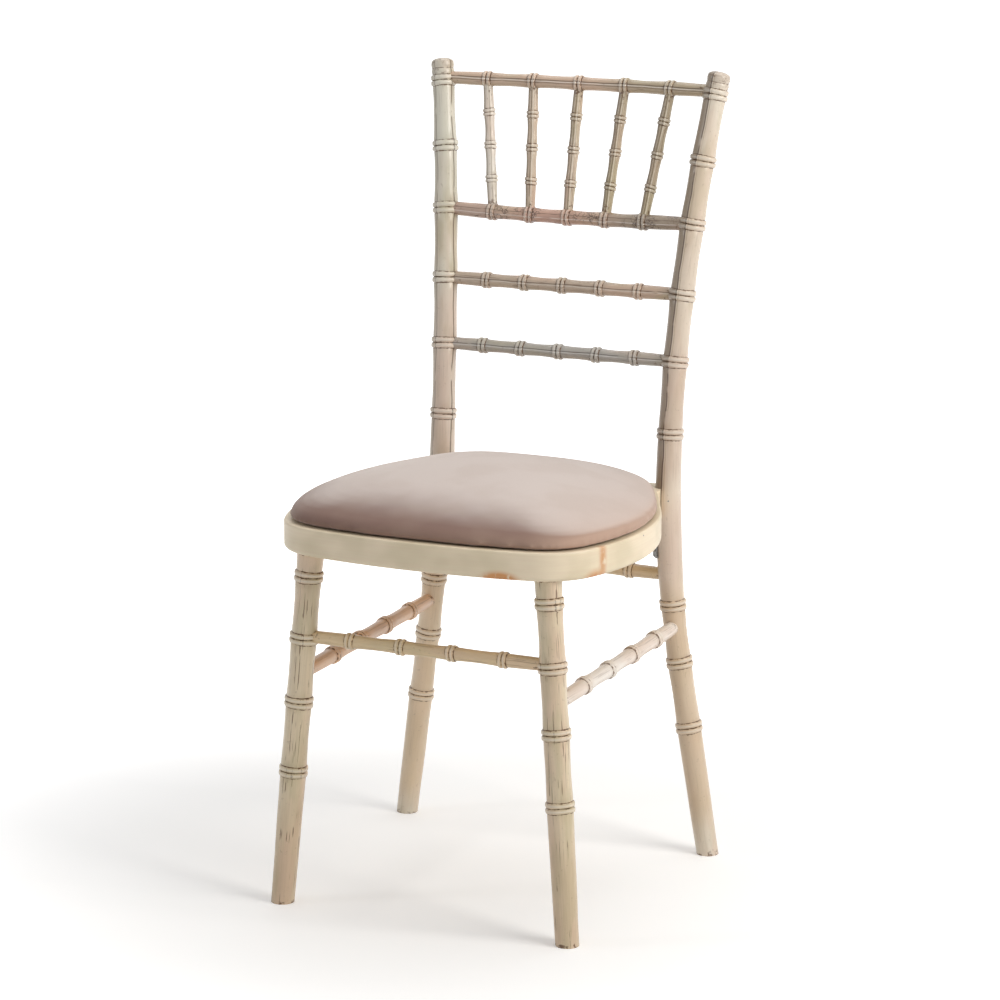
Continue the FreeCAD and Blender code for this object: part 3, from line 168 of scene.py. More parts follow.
# Pad cover: how it's filled, and how it turns under the board and sags at its edge
PAD_HELD_HEIGHT = 12.0
PAD_FILL_FRAMES = 20
PAD_SMOOTHING = 14
PAD_TURN_UNDER = 28.0
PAD_TURN_SOFTNESS = 2.0
PAD_RECESS = 3.5
PAD_SAG = 2.2
PAD_SAG_HEIGHT = 14.0

# Painted sheen and light make the cover pale facing this way, and painted light warms it facing this side
PAINTED_SHEEN_WAY = Vector((0.17, 0.28, 0.945))
PAINTED_LIGHT_SIDE = Vector((0.95, -0.3, 0.0))

# Warm stains on the seat frame: middle and half size in millimetres, and strength
FRAME_STAINS = [
    ((192.2, -155.6, 424.0), (9.0, 9.0, 40.0), 0.9),
    ((188.5, -166.0, 404.0), (20.0, 24.0, 13.0), 1.2),
    ((99.4, -220.4, 404.0), (30.0, 18.0, 13.0), 2.2),
    ((-192.2, -155.6, 412.0), (6.0, 6.0, 18.0), 0.4),
]

# Finishes of the sticks: the wash, then the strength of the blush, the olive cast, the grain, the cracks and
# the glaze. Each of the others is a list.
# Tints: from and to along the stick in millimetres, share and colour.
# Shade bands, painted shade away from the light: starting angle round the stick, share and colour.
# Streak lines, painted dark and light reflections: angle round it, half width in degrees, strength and
# colour.
# Painted span: from and to along the stick, where the painted shade bands and streaks show.
TINT_FADE = 28.0
WHOLE_STICK = (-1000, 2000)
FINISHES = {
    "left_post": dict(
        wash="#e2dac8", blush=0.35, olive=0.5, grain=0.04, cracks=0.1, glaze=0.85,
        tints=[(20, 340, 0.75, "#e9cfae"), (320, 410, 0.6, "#dfb090"), (440, 640, 0.5, "#dcc2b2"),
               (740, 890, 0.4, "#dfe0d2"), (905, 960, 0.7, "#ab9a8e")],
        # Painted shade on the side away from the light, and painted dark reflection streaks
        bands=[(-118, 0.5, "#877a5f")],
        lines=[(-22, 5.0, 0.85, "#5f4c37"), (-114, 4.0, 0.7, "#5f4c37")],
        painted_span=(425, 2000)),
    "right_post": dict(
        wash="#e8dcca", blush=0.4, olive=0.3, grain=0.04, cracks=0.1, glaze=0.85,
        tints=[(40, 320, 0.75, "#d2b898"), (330, 420, 0.5, "#cdb4a4"), (440, 600, 0.6, "#c9b09d"),
               (600, 740, 0.4, "#d0b9a4"), (905, 960, 0.9, "#a38e80")],
        # Painted shade on the side away from the light, and a painted dark reflection edge with a highlight
        # beside it
        bands=[(-99, 0.75, "#7f6c56")],
        lines=[(-99, 5.0, 0.9, "#4f3c2a"), (-88, 3.0, 0.5, "#a8926f")],
        painted_span=(425, 2000)),
    "leg": dict(
        wash="#dccaab", blush=0.45, olive=0.45, grain=0.09, cracks=0.8, glaze=0.95,
        tints=[(0, 110, 0.3, "#c9a988")]),
    "top_rail": dict(
        wash="#c3ac94", blush=0.6, olive=0.4, grain=0.09, cracks=0.4, glaze=0.95,
        tints=[(225, 320, 0.6, "#a09678")],
        # Painted reflection streaks: a dark line, a highlight and a dark line
        lines=[(-22, 6.0, 0.85, "#4a3728"), (-10, 4.0, 0.9, "#f6efe6"), (2, 5.0, 0.7, "#5d4432")]),
    "gallery": dict(
        wash="#bea393", blush=0.6, olive=0.3, grain=0.09, cracks=0.6, glaze=0.95, crackle=0.85,
        tints=[(215, 300, 0.7, "#958b77"), (95, 190, 0.35, "#c98f80")],
        # Painted reflection streaks: a dark line and a highlight
        lines=[(-25, 5.0, 0.6, "#5b4632"), (8, 4.0, 0.7, "#f0e6dc")]),
    "cross_rail": dict(
        wash="#bfac98", blush=0.5, olive=0.6, grain=0.09, cracks=0.5, glaze=0.95,
        # Painted reflection streaks: a dark line and a highlight
        lines=[(-18, 5.5, 0.75, "#4f3e2f"), (-6, 3.5, 0.75, "#efe7dc")]),
    "grey_rail": dict(
        wash="#b2ada5", blush=0.25, olive=0.3, grain=0.09, cracks=0.5, glaze=0.95,
        # Painted reflection streaks: a dark line and a highlight
        lines=[(-18, 5.5, 0.75, "#47413c"), (-6, 3.5, 0.75, "#eceae6")]),
    "pale_spindle": dict(
        wash="#ede4d7", blush=0.35, olive=0.35, grain=0.06, cracks=0.3, glaze=0.8,
        # Painted shade on the side away from the light, and a painted dark reflection streak
        bands=[(-105, 0.5, "#7d6e58")],
        lines=[(-60, 8.0, 0.5, "#8a7a62")]),
    "spindle": dict(
        wash="#d2bfa8", blush=0.6, olive=0.5, grain=0.09, cracks=0.4, glaze=0.9,
        # Painted shade on the side away from the light, and painted dark and light reflection streaks
        bands=[(-105, 0.6, "#75624c")],
        lines=[(-82, 8.0, 0.7, "#5b4733"), (-62, 8.0, 0.7, "#f3eadb")]),
    "olive_spindle": dict(
        wash="#b5a58b", blush=0.3, olive=0.6, grain=0.09, cracks=0.4, glaze=0.9,
        # Painted shade on the side away from the light, and painted dark and light reflection streaks
        bands=[(-105, 0.6, "#6f5d49")],
        lines=[(-84, 8.0, 0.7, "#584530"), (-66, 8.0, 0.7, "#eee4d2")]),
    "stretcher": dict(wash="#e0c69c", blush=0.35, olive=0.35, grain=0.08, cracks=0.4, glaze=0.95),
    "warm_stretcher": dict(wash="#f0c6a0", blush=0.6, olive=0.0, grain=0.06, cracks=0.25, glaze=0.9),
    "pale_stretcher": dict(wash="#efe6dc", blush=0.4, olive=0.1, grain=0.06, cracks=0.25, glaze=0.85),
}

# Lamps: name, place, aim, size, power in watts and colour
LAMPS = [
    ("top_softbox", (0.0, 0.7, 3.0), (0.0, 0.0, 0.45), 2.0, 22.0, "#fffefc"),
    ("right_softbox", (2.6, -0.3, 2.1), (0.0, 0.0, 0.45), 1.5, 52.0, "#fffcf7"),
    ("left_strip", (-2.6, -1.8, 1.9), (0.0, 0.0, 0.5), 0.5, 8.0, "#f8f9ff"),
]

# The floor reaches this far, in metres, and turns from lit to plainly white between two distances
FLOOR_REACH = 30.0
FLOOR_LIT_WITHIN = 0.35
FLOOR_WHITE_BEYOND = 1.2
FLOOR_GLOW_NEAR = 0.24
WORLD_LIGHT = 0.35
CAMERA_SENSOR = 36.0


def linear(colour):
    """An sRGB hex colour as linear red, green, blue and alpha."""
    parts = [int(colour[place:place + 2], 16) / 255 for place in (1, 3, 5)]
    return [part / 12.92 if part <= 0.04045 else ((part + 0.055) / 1.055) ** 2.4 for part in parts] + [1.0]


def colour_property(name, description, colour):
    return bpy.props.FloatVectorProperty(name=name, description=description, size=4, min=0.0, max=1.0,
                                         subtype="COLOR", default=linear(colour))


# Settings
class ChairWoodSettings(bpy.types.PropertyGroup):
    limewash: colour_property("Limewash", "Pale wash on the rubbed crests of the beads", "#efe7da")
    blush: colour_property("Blush", "Pinkish beech that shows through the wash", "#d9b8a0")
    olive: colour_property("Olive", "Greenish cast of the aged wash", "#b9ad88")
    glaze: colour_property("Glaze", "Brown glaze left in the grooves and the grain", "#66462b")
    frame_wash: colour_property("Frame wash", "Creamy wash of the seat frame", "#efdfc3")
    stain: colour_property("Stain", "Warm stain where a joint has bled", "#cf925c")
    raw_beech: colour_property("Raw beech", "Bare beech of the hidden blocks and dowels", "#c69c6d")
    plywood: colour_property("Plywood", "Birch plywood of the seat and pad boards", "#cdb083")


class ChairPadSettings(bpy.types.PropertyGroup):
    fabric: colour_property("Fabric", "Dusty pink microfibre suede, down the sides", "#886b60")
    # The nap colour is painted sheen and light, laid on where the cover faces up
    nap: colour_property("Nap", "Suede whose nap is pressed pale, on top", "#dbcec7")
    tape: colour_property("Tape", "Hook and loop tape", "#857a6c")
    voxel: bpy.props.FloatProperty(name="Voxel", description="Grid of the pad's remesh", default=0.004,
                                   unit="LENGTH", min=0.002, max=0.02)
    pressure: bpy.props.FloatProperty(name="Pressure", description="How hard the foam fills the cover",
                                      default=4.0, min=0.0, max=20.0)
    swell_limit: bpy.props.FloatProperty(name="Swell limit", description="Furthest that the cover moves",
                                         default=0.003, unit="LENGTH", min=0.0, max=0.02)


class ChairStageSettings(bpy.types.PropertyGroup):
    camera_place: bpy.props.FloatVectorProperty(name="Camera place", description="Where the camera stands",
                                                subtype="TRANSLATION", unit="LENGTH",
                                                default=(1.725, -3.7437, 1.377))
    camera_aim: bpy.props.FloatVectorProperty(name="Camera aim", description="What the camera looks at",
                                              subtype="TRANSLATION", unit="LENGTH",
                                              default=(0.011, -0.0267, 0.444))
    lens: bpy.props.FloatProperty(name="Lens", description="Focal length on a 36 mm sensor, in millimetres",
                                  default=134.5, min=20.0, max=300.0)
    background: colour_property("Background", "Floor and backdrop as the camera sees them", "#ffffff")


def wood():
    return bpy.context.scene.chair_wood


def pad():
    return bpy.context.scene.chair_pad


def stage():
    return bpy.context.scene.chair_stage


# Node trees
def add_node(tree, kind, inputs=None, out=0, **settings):
    """Adds a node with its settings, values and links, and returns one of its outputs."""
    node = tree.nodes.new(kind)
    for name, value in settings.items():
        setattr(node, name, value)
    for name, value in (inputs or {}).items():
        if isinstance(value, bpy.types.NodeSocket):
            tree.links.new(value, node.inputs[name])
        else:
            node.inputs[name].default_value = value
    return node.outputs[out]


def new_material(name):
    material = bpy.data.materials.new(name)
    material.use_nodes = True
    material.node_tree.nodes.clear()
    return material, material.node_tree


def finish_material(tree, shader):
    output = tree.nodes.new("ShaderNodeOutputMaterial")
    tree.links.new(shader, output.inputs["Surface"])


def stretched(tree, place, width, length):
    """A place on a stick, scaled so that a pattern is this wide across it and this long along it, in mm."""
    across, along = 1 / (width * MM), 1 / (length * MM)
    return add_node(tree, "ShaderNodeVectorMath", {0: place, 1: (across, across, along)},
                    operation="MULTIPLY")


def blotches(tree, place, width, length, low, high, detail=2.0, share=1.0):
    """A soft pattern from 0 to share. low and high are the noise levels that become 0 and share."""
    noise = add_node(tree, "ShaderNodeTexNoise",
                     {"Vector": stretched(tree, place, width, length), "Scale": 1.0, "Detail": detail})
    return add_node(tree, "ShaderNodeMapRange",
                    {"Value": noise, "From Min": low, "From Max": high, "To Min": 0.0, "To Max": share},
                    interpolation_type="SMOOTHSTEP")


def coated(tree, colour, coats):
    """A colour under coats. Each coat is the share of it that lies at a point, and its colour."""
    for share, coat in coats:
        colour = add_node(tree, "ShaderNodeMix", {0: share, 6: colour, 7: coat}, out=2, data_type="RGBA")
    return colour


# Wood
def turned_beech(name, finish):
    """Beech, turned and limewashed: a milky wash that lets the pink wood through, brown glaze left in the
    grooves and in the grain, a worn semi-gloss lacquer, and on some sticks painted shade bands and painted
    reflection streaks."""
    material, tree = new_material(name)
    lathe = add_node(tree, "ShaderNodeAttribute", attribute_name="lathe", out="Vector")
    groove = add_node(tree, "ShaderNodeAttribute", attribute_name="groove", out="Fac")
    stick = add_node(tree, "ShaderNodeAttribute", attribute_name="stick", out="Fac")
    shift = add_node(tree, "ShaderNodeCombineXYZ", {"Z": stick})
    place = add_node(tree, "ShaderNodeVectorMath", {0: lathe, 1: shift}, operation="ADD")
    parts = tree.nodes.new("ShaderNodeSeparateXYZ")
    tree.links.new(lathe, parts.inputs[0])
    height = parts.outputs["Z"]
    turn = add_node(tree, "ShaderNodeMath", {0: parts.outputs["Y"], 1: parts.outputs["X"]},
                    operation="ARCTAN2")

    fine = blotches(tree, place, 1.3, 60, 0.35, 0.7, 3.0)
    cracks = blotches(tree, place, 1.5, 80, 0.61, 0.64, 1.0)
    patches = blotches(tree, place, 11, 50, 0.49, 0.56)
    crack = add_node(tree, "ShaderNodeMath", {0: cracks, 1: patches}, operation="MULTIPLY")
    grained = add_node(tree, "ShaderNodeMath", {0: fine, 1: finish["grain"]}, operation="MULTIPLY")
    cracked = add_node(tree, "ShaderNodeMath", {0: crack, 1: finish["cracks"]}, operation="MULTIPLY")
    rubbed = add_node(tree, "ShaderNodeMapRange",
                      {"Value": groove, "From Min": 0.0, "From Max": GLAZE_BEAD_CREST, "To Min": 0.0,
                       "To Max": 0.45})
    spread = blotches(tree, place, 4, 4, 0.25, 0.75, 3.0)
    held = add_node(tree, "ShaderNodeMath", {0: groove, 1: spread}, operation="ADD")
    dark = add_node(tree, "ShaderNodeMapRange",
                    {"Value": held, "From Min": 0.85, "From Max": 1.35, "To Min": 0.0,
                     "To Max": finish["glaze"]}, interpolation_type="SMOOTHSTEP")

    coats = [(blotches(tree, place, 26, 95, 0.42, 0.62, share=finish["blush"]), wood().blush),
             (blotches(tree, place, 20, 70, 0.45, 0.64, 3.0, finish["olive"]), wood().olive)]
    for start, end, share, shade in finish.get("tints", []):
        coats.append((stretch_along(tree, height, start, end, share), linear(shade)))
    coats.append((grained, wood().glaze))
    # Painted shade bands and painted reflection streaks, shown only within the painted span
    painted_marks = [(shade_band_round(tree, turn, start, share), shade)
             for start, share, shade in finish.get("bands", [])]
    painted_marks += [(streak_along(tree, place, turn, angle, half_width, strength), shade)
              for angle, half_width, strength, shade in finish.get("lines", [])]
    painted_span = stretch_along(tree, height, *finish.get("painted_span", WHOLE_STICK), 1.0)
    for painted_mark, shade in painted_marks:
        share = add_node(tree, "ShaderNodeMath", {0: painted_mark, 1: painted_span}, operation="MULTIPLY")
        coats.append((share, linear(shade)))
    coats.append((cracked, wood().glaze))
    if "crackle" in finish:
        coats.append((crackle(tree, place, finish["crackle"]), linear("#45332a")))
    coats += [(rubbed, wood().limewash), (dark, wood().glaze)]

    rough = add_node(tree, "ShaderNodeMapRange", {"Value": fine, "To Min": 0.33, "To Max": 0.46})
    deep = add_node(tree, "ShaderNodeMath", {0: crack, 1: 0.8}, operation="MULTIPLY")
    shallow = add_node(tree, "ShaderNodeMath", {0: fine, 1: 0.25}, operation="MULTIPLY")
    cut = add_node(tree, "ShaderNodeMath", {0: deep, 1: shallow}, operation="MAXIMUM")
    relief = add_node(tree, "ShaderNodeMath", {0: 1.0, 1: cut}, operation="SUBTRACT")
    bump = add_node(tree, "ShaderNodeBump", {"Height": relief, "Strength": 0.4, "Distance": 0.3 * MM})
    shader = add_node(tree, "ShaderNodeBsdfPrincipled",
                      {"Base Color": coated(tree, linear(finish["wash"]), coats), "Roughness": rough,
                       "Normal": bump, "IOR": 1.5, "Coat Weight": 0.35, "Coat Roughness": 0.16})
    finish_material(tree, shader)
    return material


def stretch_along(tree, height, start, end, share):
    """Share of a tint between two places along a stick, in millimetres, with soft ends."""
    ends = []
    for middle, before, after in ((start, 0.0, share), (end, 1.0, 0.0)):
        ends.append(add_node(tree, "ShaderNodeMapRange",
                             {"Value": height, "From Min": (middle - TINT_FADE) * MM,
                              "From Max": (middle + TINT_FADE) * MM, "To Min": before, "To Max": after},
                             interpolation_type="SMOOTHSTEP"))
    return add_node(tree, "ShaderNodeMath", {0: ends[0], 1: ends[1]}, operation="MULTIPLY")


def streak_along(tree, place, turn, angle, half_width, strength):
    """Share of a painted reflection streak along a stick at an angle round it, in degrees, broken by gaps.
    """
    drift = blotches(tree, place, 200, 60, 0.3, 0.7)
    middle = add_node(tree, "ShaderNodeMapRange",
                      {"Value": drift, "To Min": math.radians(angle - 4), "To Max": math.radians(angle + 4)})
    off = add_node(tree, "ShaderNodeMath", {0: turn, 1: middle}, operation="SUBTRACT")
    off = add_node(tree, "ShaderNodeMath", {0: off}, operation="ABSOLUTE")
    line = add_node(tree, "ShaderNodeMapRange",
                    {"Value": off, "From Min": math.radians(half_width / 3),
                     "From Max": math.radians(half_width), "To Min": strength, "To Max": 0.0},
                    interpolation_type="SMOOTHSTEP")
    # Gaps that break the painted reflection streak
    worn = blotches(tree, place, 40, 30, 0.32, 0.42)
    return add_node(tree, "ShaderNodeMath", {0: line, 1: worn}, operation="MULTIPLY")


def crackle(tree, place, strength):
    """Share of a net of cracks 7 mm apart in the wash, in patches."""
    bent = add_node(tree, "ShaderNodeTexNoise",
                    {"Vector": stretched(tree, place, 9, 9), "Scale": 1.0, "Detail": 3.0}, out="Color")
    bent = add_node(tree, "ShaderNodeVectorMath", {0: bent, 1: (2.6, 2.6, 2.6)}, operation="MULTIPLY")
    cells = add_node(tree, "ShaderNodeVectorMath", {0: stretched(tree, place, 7, 14), 1: bent},
                     operation="ADD")
    edge = add_node(tree, "ShaderNodeTexVoronoi", {"Vector": cells, "Scale": 1.0},
                    feature="DISTANCE_TO_EDGE")
    line = add_node(tree, "ShaderNodeMapRange",
                    {"Value": edge, "From Min": 0.02, "From Max": 0.08, "To Min": strength, "To Max": 0.0},
                    interpolation_type="SMOOTHSTEP")
    patch = blotches(tree, place, 60, 60, 0.42, 0.5)
    return add_node(tree, "ShaderNodeMath", {0: line, 1: patch}, operation="MULTIPLY")


def shade_band_round(tree, turn, start, share):
    """Share of a painted shade band that starts sharply at an angle round a stick and fades over 90 degrees.
    """
    ends = []
    for low, high, before, after in ((start - 5, start + 3, share, 0.0), (start - 90, start - 50, 0.0, 1.0)):
        ends.append(add_node(tree, "ShaderNodeMapRange",
                             {"Value": turn, "From Min": math.radians(low), "From Max": math.radians(high),
                              "To Min": before, "To Max": after}, interpolation_type="SMOOTHSTEP"))
    return add_node(tree, "ShaderNodeMath", {0: ends[0], 1: ends[1]}, operation="MULTIPLY")


def frame_wash():
    """Beech seat frame under a thick creamy wash: brushed along the rails, with warm stains where the joints
    have bled."""
    material, tree = new_material("limewashed_beech_frame")
    place = add_node(tree, "ShaderNodeTexCoord", out="Object")
    brushed = add_node(tree, "ShaderNodeVectorMath", {0: place, 1: (14, 14, 420)}, operation="MULTIPLY")
    brush = add_node(tree, "ShaderNodeTexNoise", {"Vector": brushed, "Scale": 1.0, "Detail": 4.0})
    cloud = blotches(tree, place, 70, 50, 0.40, 0.66, share=0.35)
    strokes = add_node(tree, "ShaderNodeMapRange",
                       {"Value": brush, "From Min": 0.4, "From Max": 0.75, "To Min": 0.0, "To Max": 0.16})
    coats = [(cloud, wood().olive), (strokes, wood().blush)]
    for middle, size, share in FRAME_STAINS:
        off = add_node(tree, "ShaderNodeVectorMath", {0: place, 1: Vector(middle) * MM},
                       operation="SUBTRACT")
        off = add_node(tree, "ShaderNodeVectorMath", {0: off, 1: [1 / (side * MM) for side in size]},
                       operation="MULTIPLY")
        away = add_node(tree, "ShaderNodeVectorMath", {0: off}, out=1, operation="LENGTH")
        spot = add_node(tree, "ShaderNodeMapRange",
                        {"Value": away, "From Min": 0.0, "From Max": 1.0, "To Min": share, "To Max": 0.0},
                        interpolation_type="SMOOTHSTEP")
        uneven = blotches(tree, place, 6, 9, 0.2, 0.5, 3.0)
        spot = add_node(tree, "ShaderNodeMath", {0: spot, 1: uneven}, operation="MULTIPLY")
        coats.append((spot, wood().stain))
    rough = add_node(tree, "ShaderNodeMapRange", {"Value": brush, "To Min": 0.42, "To Max": 0.56})
    bump = add_node(tree, "ShaderNodeBump", {"Height": brush, "Strength": 0.25, "Distance": 0.3 * MM})
    shader = add_node(tree, "ShaderNodeBsdfPrincipled",
                      {"Base Color": coated(tree, wood().frame_wash, coats), "Roughness": rough,
                       "Normal": bump, "IOR": 1.5, "Coat Weight": 0.12, "Coat Roughness": 0.35})
    finish_material(tree, shader)
    return material


def plain_wood(name, colour, width, length):
    """Bare sawn wood: straight grain along X and a dry, slightly furry surface."""
    material, tree = new_material(name)
    place = add_node(tree, "ShaderNodeTexCoord", out="Object")
    across, along = 1 / (width * MM), 1 / (length * MM)
    grained = add_node(tree, "ShaderNodeVectorMath", {0: place, 1: (along, across, across)},
                       operation="MULTIPLY")
    grain = add_node(tree, "ShaderNodeTexNoise", {"Vector": grained, "Scale": 1.0, "Detail": 5.0})
    share = add_node(tree, "ShaderNodeMapRange",
                     {"Value": grain, "From Min": 0.35, "From Max": 0.75, "To Min": 0.0, "To Max": 0.4})
    shade = coated(tree, colour, [(share, wood().glaze)])
    bump = add_node(tree, "ShaderNodeBump", {"Height": grain, "Strength": 0.3, "Distance": 0.3 * MM})
    shader = add_node(tree, "ShaderNodeBsdfPrincipled",
                      {"Base Color": shade, "Roughness": 0.7, "Normal": bump, "IOR": 1.5})
    finish_material(tree, shader)
    return material


# Metal
def zinc_steel(name, colour, roughness):
    """Mild steel, zinc plated and dulled: grey, with soft spots and fine rubbing."""
    material, tree = new_material(name)
    place = add_node(tree, "ShaderNodeTexCoord", out="Object")
    spots = blotches(tree, place, 3, 3, 0.4, 0.7, 3.0)
    share = add_node(tree, "ShaderNodeMath", {0: spots, 1: 0.5}, operation="MULTIPLY")
    shade = coated(tree, colour, [(share, linear("#4c4540"))])
    rough = add_node(tree, "ShaderNodeMapRange",
                     {"Value": spots, "To Min": roughness, "To Max": roughness + 0.2})
    bump = add_node(tree, "ShaderNodeBump", {"Height": spots, "Strength": 0.2, "Distance": 0.1 * MM})
    shader = add_node(tree, "ShaderNodeBsdfPrincipled",
                      {"Base Color": shade, "Metallic": 1.0, "Roughness": rough, "Normal": bump})
    finish_material(tree, shader)
    return material


# Cloth
def suede_cloth():
    """Microfibre suede: a dense short nap. Painted sheen and light make it pale where it faces up and to the
    back right; elsewhere it keeps the darker fabric colour. Painted light makes its right side paler and
    warmer.
    Hands have mottled it. The nap is drawn at 0.9 mm, coarser than it is, so that it shows."""
    material, tree = new_material("microfibre_suede")
    place = add_node(tree, "ShaderNodeTexCoord", out="Object")
    normal = add_node(tree, "ShaderNodeNewGeometry", out="Normal")
    # Painted sheen and light: the cover turns to the nap colour where it faces up and to the back right
    facing_sheen_way = add_node(tree, "ShaderNodeVectorMath", {0: normal, 1: PAINTED_SHEEN_WAY}, out=1,
                         operation="DOT_PRODUCT")
    drift = blotches(tree, place, 60, 60, 0.3, 0.7, share=0.02)
    facing_sheen_way = add_node(tree, "ShaderNodeMath", {0: facing_sheen_way, 1: drift}, operation="SUBTRACT")
    painted_sheen = add_node(tree, "ShaderNodeMapRange",
                       {"Value": facing_sheen_way, "From Min": 0.69, "From Max": 0.88, "To Min": 0.0,
                        "To Max": 1.0}, interpolation_type="SMOOTHSTEP")
    # Painted light: the cover is paler and warmer where it faces the right, towards the light
    lit_right_side = add_node(tree, "ShaderNodeVectorMath", {0: normal, 1: PAINTED_LIGHT_SIDE}, out=1,
                     operation="DOT_PRODUCT")
    lit_right_side = add_node(tree, "ShaderNodeMapRange",
                     {"Value": lit_right_side, "From Min": 0.15, "From Max": 0.75, "To Min": 0.0, "To Max": 0.8})
    brushed = blotches(tree, place, 55, 38, 0.42, 0.64, share=0.14)
    nap = add_node(tree, "ShaderNodeTexNoise",
                   {"Vector": stretched(tree, place, 0.9, 0.9), "Scale": 1.0, "Detail": 3.0})
    shade = add_node(tree, "ShaderNodeMapRange",
                     {"Value": nap, "From Min": 0.3, "From Max": 0.7, "To Min": 0.0, "To Max": 0.10})
    colour = coated(tree, pad().fabric, [(painted_sheen, pad().nap), (lit_right_side, linear("#c9a995")),
                                         (brushed, linear("#b7a08f")), (shade, linear("#7c665e"))])
    rough = add_node(tree, "ShaderNodeMapRange", {"Value": nap, "To Min": 0.86, "To Max": 0.98})
    bump = add_node(tree, "ShaderNodeBump", {"Height": nap, "Strength": 0.3, "Distance": 0.3 * MM})
    shader = add_node(tree, "ShaderNodeBsdfPrincipled",
                      {"Base Color": colour, "Roughness": rough, "Normal": bump, "IOR": 1.45,
                       "Sheen Weight": 0.5, "Sheen Roughness": 0.45, "Sheen Tint": linear("#fbf3ee")})
    finish_material(tree, shader)
    return material


def tape_cloth():
    """Nylon hook and loop tape: a coarse fuzzy pile in rows 1.5 mm apart."""
    material, tree = new_material("nylon_hook_and_loop")
    place = add_node(tree, "ShaderNodeTexCoord", out="Object")
    pile = add_node(tree, "ShaderNodeTexVoronoi", {"Vector": stretched(tree, place, 1.5, 1.5), "Scale": 1.0})
    share = add_node(tree, "ShaderNodeMapRange", {"Value": pile, "To Min": 0.0, "To Max": 0.6})
    colour = coated(tree, pad().tape, [(share, linear("#4d463d"))])
    bump = add_node(tree, "ShaderNodeBump", {"Height": pile, "Strength": 0.6, "Distance": 0.5 * MM})
    shader = add_node(tree, "ShaderNodeBsdfPrincipled",
                      {"Base Color": colour, "Roughness": 0.9, "Normal": bump, "Sheen Weight": 0.2})
    finish_material(tree, shader)
    return material


# Centre lines of the sticks, in millimetres
def post_point(height, hand):
    bent = max(height, POST_SPLAY_START) - POST_WAIST_HEIGHT
    if height >= POST_WAIST_HEIGHT:
        half_width = POST_WAIST_HALF_WIDTH + bent ** 2 / (2 * POST_UPPER_BEND_RADIUS)
    else:
        straight = max(POST_SPLAY_START - height, 0.0)
        half_width = POST_WAIST_HALF_WIDTH + bent ** 2 / (2 * POST_LOWER_BEND_RADIUS)
        half_width -= straight * bent / POST_LOWER_BEND_RADIUS
    leaned = min(max(height, POST_LEAN_START), POST_LEAN_END) - POST_LEAN_START
    beyond = max(height - POST_LEAN_END, 0.0)
    lean = (leaned ** 2 / 2 + beyond * (POST_LEAN_END - POST_LEAN_START)) / POST_LEAN_RADIUS
    return Vector((hand * half_width, POST_FOOT_SETBACK + POST_FOOT_LEAN * height + lean, height))


def leg_point(height, hand):
    point = LEG_FOOT.lerp(LEG_TOP, height / LEG_TOP.z)
    return Vector((hand * point.x, point.y, point.z))


def rail_point(name, across):
    height, _, _, _, bow, sag = RAILS[name]
    end = post_point(height, 1)
    share = 1 - (across / end.x) ** 2
    return Vector((across, end.y + bow * share, height - sag * share))


def straight_line(first, last):
    way = (last - first).normalized()
    return lambda distance: first + way * distance


def centred(count, pitch):
    return [(index - (count - 1) / 2) * pitch for index in range(count)]


# Turned profiles: each point is a place along the stick, a radius and the share of glaze it holds
def ring_profile(place, radius, bead):
    """Two half-round beads with a cut groove between them and beside them. The crests are rubbed pale."""
    width, height = bead
    points = [(place - width - GROOVE_SIDE, radius, 0.0)]
    for start in (place - width, place):
        points.append((start, radius - GROOVE_DEPTH, GLAZE_FULL))
        for step in range(1, BEAD_STEPS):
            share = 2 * step / BEAD_STEPS - 1
            glaze = GLAZE_BEAD_CREST + (GLAZE_BEAD_SIDE - GLAZE_BEAD_CREST) * abs(share)
            points.append((start + width * step / BEAD_STEPS, radius + height * math.sqrt(1 - share ** 2),
                           glaze))
    points.append((place + width, radius - GROOVE_DEPTH, GLAZE_FULL))
    points.append((place + width + GROOVE_SIDE, radius, 0.0))
    return points


def span_profile(first, last, waist):
    """Plain length between two points of a profile, drawn in by the waist in its middle."""
    points = []
    for step in range(1, WAIST_STEPS):
        share = step / WAIST_STEPS
        radius = first[1] + share * (last[1] - first[1]) - waist * math.sin(math.pi * share)
        points.append((first[0] + share * (last[0] - first[0]), radius, 0.0))
    return points


def turned_profile(start, rings, end, bead, waists):
    """start and end are lists of profile points beyond the rings. waists has one value per span."""
    points = list(start)
    for index, (place, radius) in enumerate(rings):
        ring = ring_profile(place, radius, bead)
        points += span_profile(points[-1], ring[0], waists[index]) + ring
    return points + span_profile(points[-1], end[0], waists[-1]) + list(end)


def rail_profile(length, radius, rings, bead):
    """Stick that thins to its tenons, which go into its neighbours."""
    tenon = radius * TENON_SHARE
    start = [(0.0, tenon, 0.0), (TENON_INSET, tenon, 0.6),
             (TENON_INSET + TAPER_LENGTH, radius - TAPER_STEP, 0.0)]
    end = [(length - place, size, glaze) for place, size, glaze in reversed(start)]
    waists = [0.0] + [WAIST_DEPTH] * (len(rings) - 1) + [0.0]
    return turned_profile(start, [(place, radius) for place in rings], end, bead, waists)


def foot_profile(radius):
    """Foot of a post or leg, stained where it meets the floor. Its allowance is sawn off."""
    low, high = FOOT_STAIN_HEIGHTS
    return [(-SAW_ALLOWANCE, radius, 0.6), (low, radius, 0.5), (high, radius, 0.0)]


